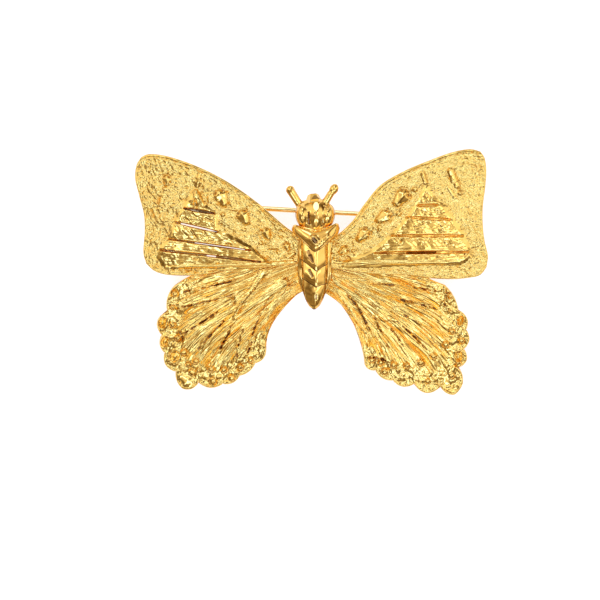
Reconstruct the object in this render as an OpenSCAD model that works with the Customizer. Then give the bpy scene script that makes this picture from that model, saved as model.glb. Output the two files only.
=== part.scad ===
// Butterfly brooch, lying on its back: +X is the wearer's left, +Y the head, +Z the face.
// Z = 0 is the surface that it lies on. Lengths in millimetres, angles in degrees.

/* [Wings] */
// Overall width across the forewings
span = 63.5; // [58:0.5:70]
// Overall height, tip of the forewing to tip of the hindwing
height = 44.4; // [41:0.2:49]
// Thickness of the cast forewing sheet
fore_t = 1.2; // [0.9:0.05:1.5]
// Thickness of the cast hindwing sheet
hind_t = 1; // [0.8:0.05:1.3]
// Height of the forewing's back at the root
fore_z = 6.1; // [5.9:0.05:7]
// Rise of the forewing between the root and its middle
fore_rise = 0.5; // [0.1:0.05:0.9]
// Drop of the forewing from its middle to its tip
tip_drop = 2; // [0.5:0.1:3]
// Air between the lapped wings, and between the stacked castings
lap_gap = 0.2; // [0.1:0.02:0.3]
// Width of the grooves and slots of the forewings
slot_w = 0.5; // [0.4:0.05:0.9]
// Height of the rolled rim and of the raised bars
rim_h = 0.4; // [0.2:0.05:0.6]
// Radius of the largest teardrop boss
spot_r = 1.25; // [0.9:0.05:1.5]
// Radius of the pearls along the scalloped margin
pearl_r = 0.55; // [0.35:0.05:0.75]
// Depth of the flutes that run to the scallops
flute_h = 0.35; // [0.1:0.05:0.5]

/* [Body] */
// Sideways place of the body's axis
body_x = 0.7; // [0.2:0.1:1.2]
// Width of the abdomen at its widest
body_w = 5.3; // [4.6:0.1:6]
// Crown of the body above its seat
body_h = 3; // [2.4:0.1:3.6]
// Width of the head
head_w = 7.2; // [6.4:0.1:7.8]
// Height of the head from chin to crown, seen from the front
head_l = 6.6; // [6:0.1:7.2]
// Depth of the head, face to nape
head_d = 5.6; // [5:0.1:6.2]
// Radius of an eye
eye_r = 1.5; // [1.2:0.05:1.8]
// Length of an antenna outside the head
antenna_l = 3.6; // [2.8:0.1:4.4]
// Radius of an antenna's stalk
antenna_r = 0.46; // [0.38:0.02:0.56]
// Radius of the peg that rivets the castings together
peg_r = 0.7; // [0.5:0.05:0.9]

/* [Pin] */
// Diameter of the pin wire
pin_d = 0.9; // [0.8:0.02:1]
// Height of the pin's axis above the surface
pin_z = 1.4; // [1.3:0.02:1.6]
// Distance from the hinge rivet to the middle of the catch
pin_reach = 30.5; // [28:0.1:32]
// Slant of the pin across the brooch
pin_skew = 3.2; // [1:0.1:5]
// Place of the hinge rivet, from the middle to the left
hinge_x = 15.3; // [14.8:0.1:16]
// Place of the hinge rivet, up from the middle
hinge_y = 12; // [11:0.1:13]
// Length of the pin's swelled neck, from the rivet
neck_l = 2.4; // [2:0.1:3]
// Length of the straight wire, from the rivet
straight_l = 18; // [14:0.5:22]
// Diameter of the wire in the catch
pin_end_d = 0.76; // [0.66:0.02:0.8]
// Length of the pin's tapered point
point_l = 1.6; // [1:0.1:2.4]
// Wire that shows past the catch, without the point
pin_past = 0.2; // [0.1:0.1:0.8]
// Radius of the eye at the pin's end
eyelet_r = 1.15; // [1:0.05:1.25]

/* [Findings] */
// Thickness of the brackets' plates
plate_t = 0.7; // [0.5:0.05:0.9]
// Thickness of a hinge ear
ear_t = 0.6; // [0.45:0.05:0.8]
// Diameter of the hinge rivet
rivet_d = 1; // [0.8:0.02:1.1]
// Running clearance round the rivet and beside the eye
run_gap = 0.05; // [0.03:0.01:0.08]
// Clearance between fixed pieces
seat_gap = 0.05; // [0.03:0.01:0.1]
// Length of the catch's barrel
barrel_l = 2.4; // [2:0.1:3]
// Width of the catch's slot, and its bore
catch_slot = 1.06; // [1:0.02:1.2]
// Width of the brackets' plates
bracket_w = 3.4; // [3.2:0.1:4]

/* [Hidden] */
half_w = span / 2;
half_h = height / 2;
LEFT = -1;
RIGHT = 1;

// Outlines. A row is [out, up]: shares of the half width and of the half height.
// Edges run from the root to the wing's corner, margins from the lower corner up.
FORE_LEAD_L = [
    [0.02, 0.25], [0.145, 0.37], [0.305, 0.565], [0.47, 0.73],
    [0.64, 0.855], [0.81, 0.94], [0.915, 0.96], [0.965, 0.935]
];
FORE_TRAIL_L = [
    [0.02, 0.085], [0.145, 0.06], [0.305, 0.035], [0.47, 0.015],
    [0.64, -0.02], [0.8, -0.02], [0.885, 0.01], [0.935, 0.07]
];
FORE_MARGIN_L = [
    [0.935, 0.07], [0.953, 0.165], [0.945, 0.33], [0.95, 0.475],
    [0.978, 0.63], [1, 0.765], [0.992, 0.87], [0.965, 0.935]
];
FORE_LEAD_R = [
    [0.02, 0.24], [0.14, 0.305], [0.23, 0.42], [0.3, 0.56], [0.39, 0.71],
    [0.52, 0.82], [0.66, 0.905], [0.795, 0.975], [0.895, 1], [0.955, 0.98]
];
FORE_TRAIL_R = [
    [0.02, 0.07], [0.14, 0.03], [0.255, 0.005], [0.385, -0.015], [0.53, -0.02],
    [0.67, -0.045], [0.795, -0.053], [0.89, -0.042], [0.952, -0.02], [0.99, 0.045]
];
FORE_MARGIN_R = [
    [0.99, 0.045], [0.998, 0.14], [0.978, 0.265], [0.968, 0.41], [0.97, 0.55],
    [0.983, 0.69], [0.989, 0.83], [0.98, 0.925], [0.955, 0.98]
];
HIND_INNER_L = [
    [0.03, -0.14], [0.088, -0.18], [0.145, -0.25], [0.203, -0.345],
    [0.24, -0.44], [0.257, -0.53], [0.26, -0.605]
];
HIND_LEAD_L = [
    [0.02, 0.15], [0.12, 0.135], [0.29, 0.1], [0.45, 0.065],
    [0.6, 0.02], [0.69, -0.025], [0.765, -0.09]
];
HIND_INNER_R = [
    [0.07, -0.16], [0.152, -0.24], [0.197, -0.32], [0.238, -0.42],
    [0.272, -0.545], [0.293, -0.66], [0.299, -0.735]
];
HIND_LEAD_R = [
    [0.02, 0.15], [0.16, 0.12], [0.33, 0.085], [0.47, 0.05],
    [0.6, 0.005], [0.68, -0.055], [0.75, -0.095]
];

// Scalloped margins. A row is [out, up, bulge]: a notch, and how far the scallop that
// follows it swells past its chord, as a share of that chord. Row TIP is the pointed
// end of the wing, where it rests on the surface.
TIP = 5;
SCALLOPS_L = [
    [0.26, -0.605, 0.23], [0.32, -0.735, 0.14], [0.41, -0.838, 0.2],
    [0.506, -0.903, 0.2], [0.644, -0.893, 0.2], [0.735, -0.945, 0.15], [0.774, -0.803, 0.26],
    [0.837, -0.65, 0.21], [0.853, -0.505, 0.33], [0.818, -0.315, 0.16], [0.765, -0.09, 0]
];
SCALLOPS_R = [
    [0.299, -0.735, 0.22], [0.364, -0.793, 0.18], [0.463, -0.875, 0.23],
    [0.584, -0.902, 0.31], [0.734, -0.925, 0.16], [0.812, -0.995, 0.25], [0.838, -0.773, 0.3],
    [0.867, -0.62, 0.23], [0.878, -0.462, 0.25], [0.832, -0.304, 0.1], [0.75, -0.095, 0]
];

// Grooves of the forewings, some of them pierced. A row is [up, inner, outer, from, to]:
// shares of the wing's height above its lower edge and of its length from the root, and
// the stretch that is cut through.
SLOTS_L = [
    [0.16, 0.28, 0.78, 0.53, 0.6], [0.29, 0.33, 0.71, 0.33, 0.71],
    [0.445, 0.48, 0.68, 0.48, 0.68], [0.6, 0.5, 0.64, 0, 0]
];
SLOTS_R = [
    [0.216, 0.35, 0.83, 0, 0], [0.358, 0.45, 0.8, 0, 0],
    [0.5, 0.51, 0.71, 0, 0], [0.616, 0.57, 0.67, 0, 0]
];

// Teardrop bosses. A row is [out, up, size, lean]: the place as for the outlines, the
// size as a share of the largest boss, and the direction of the pointed end.
SPOTS_L = [
    [0.512, 0.617, 1, 60], [0.385, 0.45, 0.92, 55], [0.258, 0.311, 0.75, 50],
    [0.82, 0.752, 0.6, 80], [0.641, 0.757, 0.45, 60]
];
SPOTS_R = [
    [0.507, 0.606, 1, 60], [0.4, 0.444, 0.95, 55], [0.287, 0.297, 0.8, 50],
    [0.835, 0.645, 0.45, 90], [0.635, 0.77, 0.5, 90]
];
// Ribs beside the bars, from the apex down. A row is [out, up].
RIBS_L = [
    [[0.651, 0.664], [0.73, 0.52], [0.865, 0.19]],
    [[0.651, 0.664], [0.56, 0.515]]
];
RIBS_R = [
    [[0.647, 0.666], [0.72, 0.56]],
    [[0.647, 0.666], [0.59, 0.555], [0.36, 0.19]]
];

// Body segments. A row is [top, flank, tip, half, crown]: shares of the half height for
// the upper end, the lower end of the flank and the point of the V, half the width as a
// share of body_w, and the crown as a share of body_h.
SEGMENTS = [
    [0.25, 0.1, 0.01, 0.45, 0.95], [0.1, -0.045, -0.12, 0.45, 0.84], [-0.03, -0.15, -0.28, 0.4, 0.72]
];
TAIL_UP = -0.29;
HEAD_UP = 0.44;
COLLAR_UP = 0.375;
COLLAR_TIP_UP = 0.17;
collar_out = 4.5;
// Radii of the body's rounded edges, and how high its parts stand over the seat
flank_r = 0.6;
keel_r = 0.7;
collar_r = 0.8;
flange_r = 0.8;
tail_r = 0.8;
snout_r = 0.6;
vein_r = 0.45;
flank_z = 0.7;
head_z = 0.3;
antenna_z = 0.5;
// Antenna: how far it is set into the head, and its round end
antenna_in = 1.2;
knob_r = 0.65;
// How far the seat runs in under the head, and the pegs into the body
chin_in = 1.2;
peg_in = 0.5;
// Antennae. A row is [out, up, lean]: the root as shares of half the head's width and
// height, and the angle from straight up.
ANTENNAE = [[-0.62, 0.78, 38], [0.5, 0.92, -33]];

// Derived heights
top_root = fore_z + fore_t;
seat_z = top_root + 2 * seat_gap;
hind_top = fore_z - lap_gap;
hind_back = hind_top - hind_t;
pad_drop = 0.1;
pad_z = fore_z - pad_drop;
ear_r = pin_z;
plate_top = pad_z - seat_gap;
plate_z = plate_top - plate_t;
catch_r = sqrt(pin_z * pin_z + catch_slot * catch_slot / 4);
stud_r = 0.55;
stud_head_r = 0.95;
stud_head_t = 0.35;
stud_off = 2.3;
boss_rim = 0.2;
fore_flat = 0.18;
fore_crest = 0.46;
web_w = 4.4;
web_in = 0.1;
groove_h = 0.5;
bar_h = 0.22;
cell = 0.07;
fore_cells = 22;
scallop_cells = 4;
hind_cells = 8;

function mix(a, b, t) = a + (b - a) * t;
function clamp01(t) = min(1, max(0, t));
function smooth(t) = let (c = clamp01(t)) c * c * (3 - 2 * c);

// Point on a smooth curve through the rows of a table, t from 0 to 1
function curve(p, t) =
    let (
        n = len(p) - 1,
        s = min(t * n, n - 0.00001),
        i = floor(s),
        f = s - i,
        a = p[max(0, i - 1)],
        b = p[i],
        c = p[i + 1],
        d = p[min(n, i + 2)]
    )
    (2 * b + (c - a) * f + (2 * a - 5 * b + 4 * c - d) * f * f
        + (3 * b - a - 3 * c + d) * f * f * f) / 2;

function place(row) = [row[0] * half_w, row[1] * half_h];
function edge(table, t) = place(curve(table, t));

// Point on a scalloped margin: an arch from each notch to the next
function scallop(table, t) =
    let (
        n = len(table) - 1,
        s = min(t * n, n - 0.00001),
        i = floor(s),
        f = s - i,
        a = place(table[i]),
        b = place(table[i + 1]),
        side = [b[1] - a[1], a[0] - b[0]]
    )
    mix(a, b, f) + side * table[i][2] * pow(sin(180 * f), 0.75);

// Patch spanned by four edges: u from root to margin, v from the lower to the upper edge
function patch(low, high, root, rim, corners, u, v) =
    mix(low, high, v) + mix(root, rim, u)
    - mix(mix(corners[0], corners[1], u), mix(corners[2], corners[3], u), v);

function fore_point(low_table, high_table, rim_table, u, v) =
    let (
        c00 = edge(low_table, 0),
        c10 = edge(low_table, 1),
        c01 = edge(high_table, 0),
        c11 = edge(high_table, 1)
    )
    patch(edge(low_table, u), edge(high_table, u), mix(c00, c01, v), edge(rim_table, v),
        [c00, c10, c01, c11], u, v);

function hind_point(low_table, high_table, scallops, u, v) =
    let (
        c00 = edge(low_table, 0),
        c10 = edge(low_table, 1),
        c01 = edge(high_table, 0),
        c11 = edge(high_table, 1)
    )
    patch(edge(low_table, u), edge(high_table, u), mix(c00, c01, v), scallop(scallops, v),
        [c00, c10, c01, c11], u, v);

// Height of the forewing's back, from the share of the half width
function fore_back(out) =
    fore_z + fore_rise * smooth((out - fore_flat) / (fore_crest - fore_flat))
    - tip_drop * pow(clamp01((out - fore_crest) / (1 - fore_crest)), 2);

// Height of the hindwing's back: it leaves the forewing and sweeps down to the surface
function sweep(up) = pow(clamp01((0.16 - up) / 1.06), 1.5);
function hind_under(out, up, tip) =
    let (fall = fore_back(tip[0]) - lap_gap - hind_t)
    max(0, fore_back(out) - lap_gap - hind_t - fall * sweep(up) / sweep(tip[1]));

// How far a place lies on the raised bars, 0 to 1: their ends follow the grooves' ends
function on_bars(slots, u, v) =
    let (
        inner = lookup(v, [for (s = slots) [s[0], s[1]]]),
        outer = lookup(v, [for (s = slots) [s[0], s[2]]])
    )
    smooth((u - inner) / 0.05) * smooth((outer - u) / 0.05)
    * smooth((v - slots[0][0] + 0.09) / 0.05) * smooth((slots[3][0] + 0.07 - v) / 0.05);

// Relief of the forewing: a rolled rim, and bars with grooves between them
function fore_relief(slots, u, v, out) =
    let (groove = len([for (s = slots) if (abs(v - s[0]) < 0.001 && u >= s[1] && u <= s[2]) 1]))
    smooth((out - 0.17) / 0.06)
    * (rim_h * max(smooth((v - 0.88) / 0.08), smooth((u - 0.93) / 0.05), 0.7 * smooth((0.07 - v) / 0.05))
        + bar_h * on_bars(slots, u, v) - groove_h * groove);

// Relief of the hindwing: flutes that run to the scallops, and a thin rim
function hind_relief(u, v, up, count) =
    flute_h * smooth((0.03 - up) / 0.1) * smooth((u - 0.12) / 0.2)
    * max(abs(sin(180 * v * count)), 0.8 * smooth((u - 0.9) / 0.08));

// Lines across the forewing: a groove has one at each edge and one in its bed, and the
// rest is shared evenly
function slot_lines(slots, tall) =
    let (h = slot_w / tall / 2)
    concat([0], [for (s = slots) each [s[0] - h, s[0], s[0] + h]], [1]);
function band_lines(a, b) =
    let (n = max(1, round((b - a) / cell)))
    [for (k = [0 : n - 1]) mix(a, b, k / n)];
function fore_lines(slots, tall) =
    let (e = slot_lines(slots, tall))
    concat([for (k = [0 : len(e) - 2]) each k % 3 == 0 ? band_lines(e[k], e[k + 1]) : [e[k]]], [1]);
function pierced(slots, tall, u, v) =
    let (h = slot_w / tall / 2)
    len([for (s = slots) if (abs(v - s[0]) < h && u > s[3] && u < s[4]) 1]) > 0;

// Closed sheet from a grid of points: tops and backs are lists of rows, and solid says
// which cells are filled. Each open side of a filled cell gets a wall.
module sheet(tops, backs, solid) {
    rows = len(tops);
    cols = len(tops[0]);
    half = rows * cols;
    points = concat([for (r = tops) each r], [for (r = backs) each r]);
    function id(i, j) = i * cols + j;
    function filled(i, j) = i >= 0 && j >= 0 && i < rows - 1 && j < cols - 1 && solid[i][j];
    function pair(a, b, c, d) = [[a, b, c], [a, c, d]];
    faces = [
        for (i = [0 : rows - 2])
        for (j = [0 : cols - 2])
        if (solid[i][j])
        let (a = id(i, j), b = id(i + 1, j), c = id(i + 1, j + 1), d = id(i, j + 1))
        each concat(
            pair(a, d, c, b),
            pair(half + a, half + b, half + c, half + d),
            filled(i, j - 1) ? [] : pair(a, b, half + b, half + a),
            filled(i + 1, j) ? [] : pair(b, c, half + c, half + b),
            filled(i, j + 1) ? [] : pair(c, d, half + d, half + c),
            filled(i - 1, j) ? [] : pair(d, a, half + a, half + d)
        )
    ];
    polyhedron(points, faces, convexity = 8);
}

module fore_sheet(low, high, rim, slots) {
    tall = (high[4][1] - low[4][1]) * half_h;
    lines = fore_lines(slots, tall);
    us = [for (i = [0 : fore_cells]) i / fore_cells];
    flat = [for (u = us) [for (v = lines) fore_point(low, high, rim, u, v)]];
    backs = [
        for (r = flat)
        [for (p = r) [p[0], p[1], fore_back(p[0] / half_w)]]
    ];
    tops = [
        for (i = [0 : len(us) - 1])
        [
            for (j = [0 : len(lines) - 1])
            let (p = flat[i][j], out = p[0] / half_w)
            [p[0], p[1], fore_back(out) + fore_t + fore_relief(slots, us[i], lines[j], out)]
        ]
    ];
    solid = [
        for (i = [0 : len(us) - 2])
        [
            for (j = [0 : len(lines) - 2])
            !pierced(slots, tall, (us[i] + us[i + 1]) / 2, (lines[j] + lines[j + 1]) / 2)
        ]
    ];
    sheet(tops, backs, solid);
}

module hind_sheet(low, high, scallops) {
    count = len(scallops) - 1;
    steps = count * scallop_cells;
    tip = scallops[TIP];
    us = [for (i = [0 : hind_cells]) i / hind_cells];
    vs = [for (j = [0 : steps]) j / steps];
    flat = [for (u = us) [for (v = vs) hind_point(low, high, scallops, u, v)]];
    backs = [
        for (r = flat)
        [for (p = r) [p[0], p[1], hind_under(p[0] / half_w, p[1] / half_h, tip)]]
    ];
    tops = [
        for (i = [0 : len(us) - 1])
        [
            for (j = [0 : len(vs) - 1])
            let (b = backs[i][j])
            [b[0], b[1], b[2] + hind_t + hind_relief(us[i], vs[j], b[1] / half_h, count)]
        ]
    ];
    solid = [for (i = [0 : len(us) - 2]) [for (j = [0 : len(vs) - 2]) true]];
    sheet(tops, backs, solid);
}

// Teardrop boss on the forewing
module spot(row) {
    at = place(row);
    r = spot_r * row[2];
    z = fore_back(row[0]) + fore_t;
    translate([at[0], at[1], z])
    rotate([0, 0, row[3]])
    hull() {
        scale([1, 1, 0.75])
        sphere(r = r, $fn = 8);
        translate([1.6 * r, 0, 0])
        sphere(r = r / 4, $fn = 6);
    }
}

// Rib between two places on the forewing
module rib(a, b, r) {
    hull() {
        for (row = [a, b]) {
            at = place(row);
            translate([at[0], at[1], fore_back(row[0]) + fore_t])
            sphere(r = r, $fn = 6);
        }
    }
}

module fore_wing(low, high, rim, slots, spots, ribs) {
    fore_sheet(low, high, rim, slots);
    for (row = spots) {
        spot(row);
    }
    for (line = ribs) {
        for (k = [1 : len(line) - 1]) {
            rib(line[k - 1], line[k], rim_h);
        }
    }
}

// Frame of the pin: X runs from the hinge to the catch, Z = 0 is the surface
module pin_frame() {
    translate([-hinge_x, hinge_y, 0])
    rotate([0, 0, -pin_skew])
    children();
}

// Boss and stud on a forewing's back that carry a bracket. The stud is headed over.
module bracket_boss(at, dir, length) {
    out = abs(at - hinge_x) / half_w;
    top = fore_back(out) + fore_t / 2;
    pin_frame() {
        translate([at + dir * (length / 2 - ear_r), 0, (pad_z + top) / 2])
        cube([length + 2 * boss_rim, bracket_w + 2 * boss_rim, top - pad_z], center = true);
        translate([at + dir * stud_off, 0, plate_z - seat_gap - stud_head_t])
        cylinder(r = stud_head_r, h = stud_head_t, $fn = 20);
        translate([at + dir * stud_off, 0, plate_z - seat_gap - stud_head_t])
        cylinder(r = stud_r, h = pad_z - plate_z + seat_gap + 2 * stud_head_t, $fn = 20);
    }
}

peg_places = [0.21 * half_h, 0.09 * half_h];
bracket_l = stud_off + stud_head_r + boss_rim + ear_r;

module forewings() {
    color([0.84, 0.67, 0.33])
    difference() {
        union() {
            mirror([1, 0, 0])
            fore_wing(FORE_TRAIL_L, FORE_LEAD_L, FORE_MARGIN_L, SLOTS_L, SPOTS_L, RIBS_L);
            fore_wing(FORE_TRAIL_R, FORE_LEAD_R, FORE_MARGIN_R, SLOTS_R, SPOTS_R, RIBS_R);
            translate([body_x - web_w / 2, peg_places[1] - 1.5 * peg_r, fore_z + web_in])
            cube([web_w, peg_places[0] - peg_places[1] + 3 * peg_r, fore_t - 2 * web_in]);
            bracket_boss(0, 1, bracket_l);
            bracket_boss(pin_reach, -1, bracket_l);
        }
        for (y = peg_places) {
            translate([body_x, y, 0])
            cylinder(r = peg_r + seat_gap, h = 2 * seat_z, $fn = 24);
        }
    }
}

module pearls(low, high, scallops) {
    count = len(scallops) - 1;
    tip = scallops[TIP];
    for (k = [1 : count - 2]) {
        p = hind_point(low, high, scallops, 0.84, (k + 0.5) / count);
        out = p[0] / half_w;
        up = p[1] / half_h;
        translate([p[0], p[1], hind_under(out, up, tip) + hind_t])
        sphere(r = pearl_r + flute_h / 2, $fn = 8);
    }
}

// Two veins of a hindwing that part from its root
module veins(low, high, scallops) {
    tip = scallops[TIP];
    for (v = [0.3, 0.45, 0.6, 0.75]) {
        hull() {
            for (u = [0.25, 0.55]) {
                p = hind_point(low, high, scallops, u, mix(0.5, v, u / 0.55));
                z = hind_under(p[0] / half_w, p[1] / half_h, tip) + hind_t;
                translate([p[0], p[1], z])
                sphere(r = vein_r, $fn = 6);
            }
        }
    }
}

module hind_wing(low, high, scallops) {
    hind_sheet(low, high, scallops);
    pearls(low, high, scallops);
    veins(low, high, scallops);
}

module hindwings() {
    color([0.83, 0.66, 0.34])
    difference() {
        union() {
            mirror([1, 0, 0])
            hind_wing(HIND_INNER_L, HIND_LEAD_L, SCALLOPS_L);
            hind_wing(HIND_INNER_R, HIND_LEAD_R, SCALLOPS_R);
            translate([body_x - web_w / 2, -0.14 * half_h, hind_back + web_in])
            cube([web_w, peg_places[0] + 0.14 * half_h + 1.5 * peg_r, hind_t - 2 * web_in]);
        }
        for (y = peg_places) {
            translate([body_x, y, 0])
            cylinder(r = peg_r + seat_gap, h = 2 * seat_z, $fn = 24);
        }
    }
}

// V-shaped segment: flanks that run down to the point of a V, with a keel between them
module segment(row) {
    half = row[3] * body_w - flank_r;
    crown = seat_z + row[4] * body_h;
    hull() {
        for (dir = [LEFT, RIGHT]) {
            for (y = [row[0] * half_h, row[1] * half_h + flank_r]) {
                translate([dir * half, y, seat_z + flank_z])
                sphere(r = flank_r, $fn = 8);
            }
        }
        for (y = [row[0] * half_h, row[2] * half_h + keel_r]) {
            translate([0, y, crown - keel_r])
            sphere(r = keel_r, $fn = 10);
        }
    }
}

module antenna(row) {
    translate([row[0] * head_w / 2, HEAD_UP * half_h + row[1] * head_l / 2, seat_z + antenna_z])
    rotate([-80, 0, row[2]]) {
        hull() {
            for (along = [-antenna_in, antenna_l - knob_r]) {
                translate([0, 0, along])
                sphere(r = antenna_r, $fn = 10);
            }
        }
        translate([0, 0, antenna_l - knob_r])
        sphere(r = knob_r, $fn = 12);
    }
}

module head() {
    translate([0, HEAD_UP * half_h, seat_z + head_z]) {
        scale([head_w - 0.6, head_l, head_d] / head_d)
        sphere(d = head_d, $fn = 20);
        for (dir = [LEFT, RIGHT]) {
            translate([dir * (head_w / 2 - 0.8 * eye_r), -0.2, 1])
            scale([0.8, 1.25, 1])
            sphere(r = eye_r, $fn = 14);
        }
    }
    // snout
    hull() {
        for (dir = [LEFT, RIGHT]) {
            translate([dir * snout_r, HEAD_UP * half_h + 0.55 * head_l, seat_z + head_d / 5])
            sphere(r = snout_r, $fn = 8);
            translate([dir * 1.2 * snout_r, HEAD_UP * half_h + 0.15 * head_l, seat_z + 0.46 * head_d])
            sphere(r = snout_r, $fn = 8);
        }
    }
    for (row = ANTENNAE) {
        antenna(row);
    }
}

// Polished bib below the head
module collar() {
    hull() {
        for (dir = [LEFT, RIGHT]) {
            translate([dir * (collar_out - collar_r), COLLAR_UP * half_h, seat_z + collar_r])
            sphere(r = collar_r, $fn = 10);
        }
        for (y = [COLLAR_UP * half_h - collar_r, COLLAR_TIP_UP * half_h + collar_r]) {
            translate([0, y, seat_z + body_h - collar_r])
            sphere(r = collar_r, $fn = 10);
        }
    }
}

module flange() {
    hull() {
        for (row = [[0.33, 0.5], [-0.03, 0.5], [-0.16, 0.38]]) {
            translate([0, row[0] * half_h, seat_z - flange_r / 4])
            scale([row[1] * body_w / flange_r, 1, 1])
            sphere(r = flange_r, $fn = 16);
        }
    }
}

module tail() {
    hull() {
        translate([0, 0, seat_z + head_z])
        scale([1, 0.7, 0.8])
        sphere(r = 0.4 * body_w, $fn = 14);
        translate([0, TAIL_UP * half_h + tail_r, seat_z + tail_r])
        sphere(r = tail_r, $fn = 12);
    }
}

module body() {
    color([0.80, 0.62, 0.30])
    translate([body_x, 0, 0])
    union() {
        difference() {
            union() {
                head();
                collar();
                for (row = SEGMENTS) {
                    segment(row);
                }
                flange();
                tail();
            }
            // flat seat on the forewings
            translate([-half_w, -half_h, 0])
            cube([span, (1 + HEAD_UP) * half_h - chin_in, seat_z]);
        }
        // pegs, headed over behind the hindwings
        for (y = peg_places) {
            translate([0, y, hind_back - seat_gap - stud_head_t])
            cylinder(r = peg_r, h = seat_z + peg_in - hind_back + seat_gap + stud_head_t, $fn = 24);
            translate([0, y, hind_back - seat_gap - stud_head_t])
            cylinder(r = 1.5 * peg_r, h = stud_head_t, $fn = 24);
        }
    }
}

// Plate of a bracket with a hole for its stud
module bracket_plate(dir) {
    difference() {
        translate([dir * (bracket_l / 2 - ear_r), 0, plate_z + plate_t / 2])
        cube([bracket_l, bracket_w, plate_t], center = true);
        translate([dir * stud_off, 0, plate_z - plate_t])
        cylinder(r = stud_r + seat_gap, h = 3 * plate_t, $fn = 32);
    }
}

eyelet_over = 0.2;
eyelet_t = pin_d + eyelet_over;
ear_in = eyelet_t / 2 + run_gap;
ear_out = ear_in + ear_t;

module ear(y) {
    translate([0, y + ear_t, 0])
    rotate([90, 0, 0])
    linear_extrude(ear_t)
    difference() {
        union() {
            translate([0, pin_z])
            circle(r = ear_r, $fn = 48);
            translate([-ear_r, pin_z])
            square([2 * ear_r, plate_z + plate_t / 2 - pin_z]);
        }
        translate([0, pin_z])
        circle(r = rivet_d / 2 + run_gap / 2, $fn = 48);
    }
}

module hinge() {
    color([0.78, 0.62, 0.30])
    pin_frame() {
        bracket_plate(1);
        ear(ear_in);
        ear(-ear_out);
    }
}

module hinge_rivet() {
    head_t = 0.3;
    reach = ear_out + seat_gap;
    color([0.74, 0.60, 0.32])
    pin_frame()
    translate([0, reach + head_t, pin_z])
    rotate([90, 0, 0]) {
        cylinder(r = rivet_d / 2, h = 2 * (reach + head_t), $fn = 48);
        cylinder(r = rivet_d / 2 + head_t, h = head_t, $fn = 48);
        translate([0, 0, 2 * reach + head_t])
        cylinder(r = rivet_d / 2 + head_t, h = head_t, $fn = 48);
    }
}

// Wire along X between two distances from the rivet
module wire(from, to, d_from, d_to) {
    translate([from, 0, 0])
    rotate([0, 90, 0])
    cylinder(d1 = d_from, d2 = d_to, h = to - from, $fn = 32);
}

module pin_stem() {
    wire_end = pin_reach + barrel_l / 2 + pin_past;
    color([0.80, 0.66, 0.38])
    pin_frame()
    translate([0, 0, pin_z])
    difference() {
        union() {
            rotate([90, 0, 0])
            cylinder(r = eyelet_r, h = eyelet_t, center = true, $fn = 48);
            wire(0, neck_l, eyelet_t, pin_d);
            wire(neck_l, straight_l, pin_d, pin_d);
            wire(straight_l, wire_end, pin_d, pin_end_d);
            wire(wire_end, wire_end + point_l, pin_end_d, pin_end_d / 5);
        }
        rotate([90, 0, 0])
        cylinder(r = rivet_d / 2 + run_gap, h = 2 * eyelet_t, center = true, $fn = 48);
    }
}

module catch() {
    neck_w = 1.6;
    color([0.78, 0.62, 0.30])
    pin_frame()
    translate([pin_reach, 0, 0]) {
        bracket_plate(-1);
        translate([-barrel_l / 2, 0, pin_z])
        rotate([90, 0, 90])
        linear_extrude(barrel_l)
        difference() {
            union() {
                circle(r = catch_r, $fn = 48);
                translate([-neck_w / 2, 0])
                square([neck_w, plate_z + plate_t / 2 - pin_z]);
            }
            circle(d = catch_slot, $fn = 48);
            translate([-catch_slot / 2, -2 * catch_r])
            square([catch_slot, 2 * catch_r]);
        }
    }
}

forewings();
hindwings();
body();
hinge();
hinge_rivet();
pin_stem();
catch();
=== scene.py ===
import bpy
import numpy as np
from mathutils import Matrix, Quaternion, Vector, noise


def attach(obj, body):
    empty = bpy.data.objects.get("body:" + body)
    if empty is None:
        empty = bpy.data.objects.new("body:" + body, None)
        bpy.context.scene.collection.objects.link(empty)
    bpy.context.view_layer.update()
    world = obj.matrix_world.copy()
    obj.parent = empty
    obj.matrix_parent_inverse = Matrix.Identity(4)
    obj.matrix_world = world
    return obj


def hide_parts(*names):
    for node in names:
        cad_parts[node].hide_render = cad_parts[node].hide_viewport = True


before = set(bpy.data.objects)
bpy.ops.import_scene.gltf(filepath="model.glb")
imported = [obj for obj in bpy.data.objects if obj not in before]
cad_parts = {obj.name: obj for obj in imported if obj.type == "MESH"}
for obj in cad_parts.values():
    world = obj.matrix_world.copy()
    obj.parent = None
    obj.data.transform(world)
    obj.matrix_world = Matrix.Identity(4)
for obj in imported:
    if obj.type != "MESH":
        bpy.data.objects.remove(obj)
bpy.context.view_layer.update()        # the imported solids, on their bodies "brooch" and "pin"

# Camera: looks straight down on the face of the brooch through a long lens, so that the
# wings show with no perspective. The picture is 107.7 mm wide where the brooch lies.
MM = 0.001
PICTURE_W = 107.7 * MM
LOOK_AT = Vector((-2.1, -4.9, 6)) * MM
CAMERA_UP = 620 * MM
bpy.ops.object.camera_add(location=LOOK_AT + Vector((0, 0, CAMERA_UP)), rotation=(0, 0, 0))
camera = bpy.context.object
camera.data.sensor_width = 36
camera.data.lens = camera.data.sensor_width * CAMERA_UP / PICTURE_W
bpy.context.scene.camera = camera


# Floor and light: a white table in a tent of white cloth. Lamps outside the tent make soft
# glows and small cool spots on the cloth, which the gold mirrors, with creased, dimmer and
# warmer cloth between them. The camera looks in through a hole in the roof.
TABLE_W = 3
TENT, TENT_DIM, TENT_SPOT, SOFTBOX = "#FFFFFF", "#EDCF9C", "#A4C6FF", "#D4E4FF"
CLOTH_DIM, CLOTH_BRIGHT = 0.14, 0.4
# Brightness from which a spot turns cool, and where it is wholly so
SPOT_FROM, SPOT_TO = 0.9, 3
# Creases: how many, and the noise values between which they fall
CREASES, CREASE_LOW, CREASE_HIGH = 2.6, 0.38, 0.62
# Hole in the roof: its reach in degrees, and the share of the light that is left in it
HOLE_REACH, HOLE_LIGHT = 6, 0.25
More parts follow.
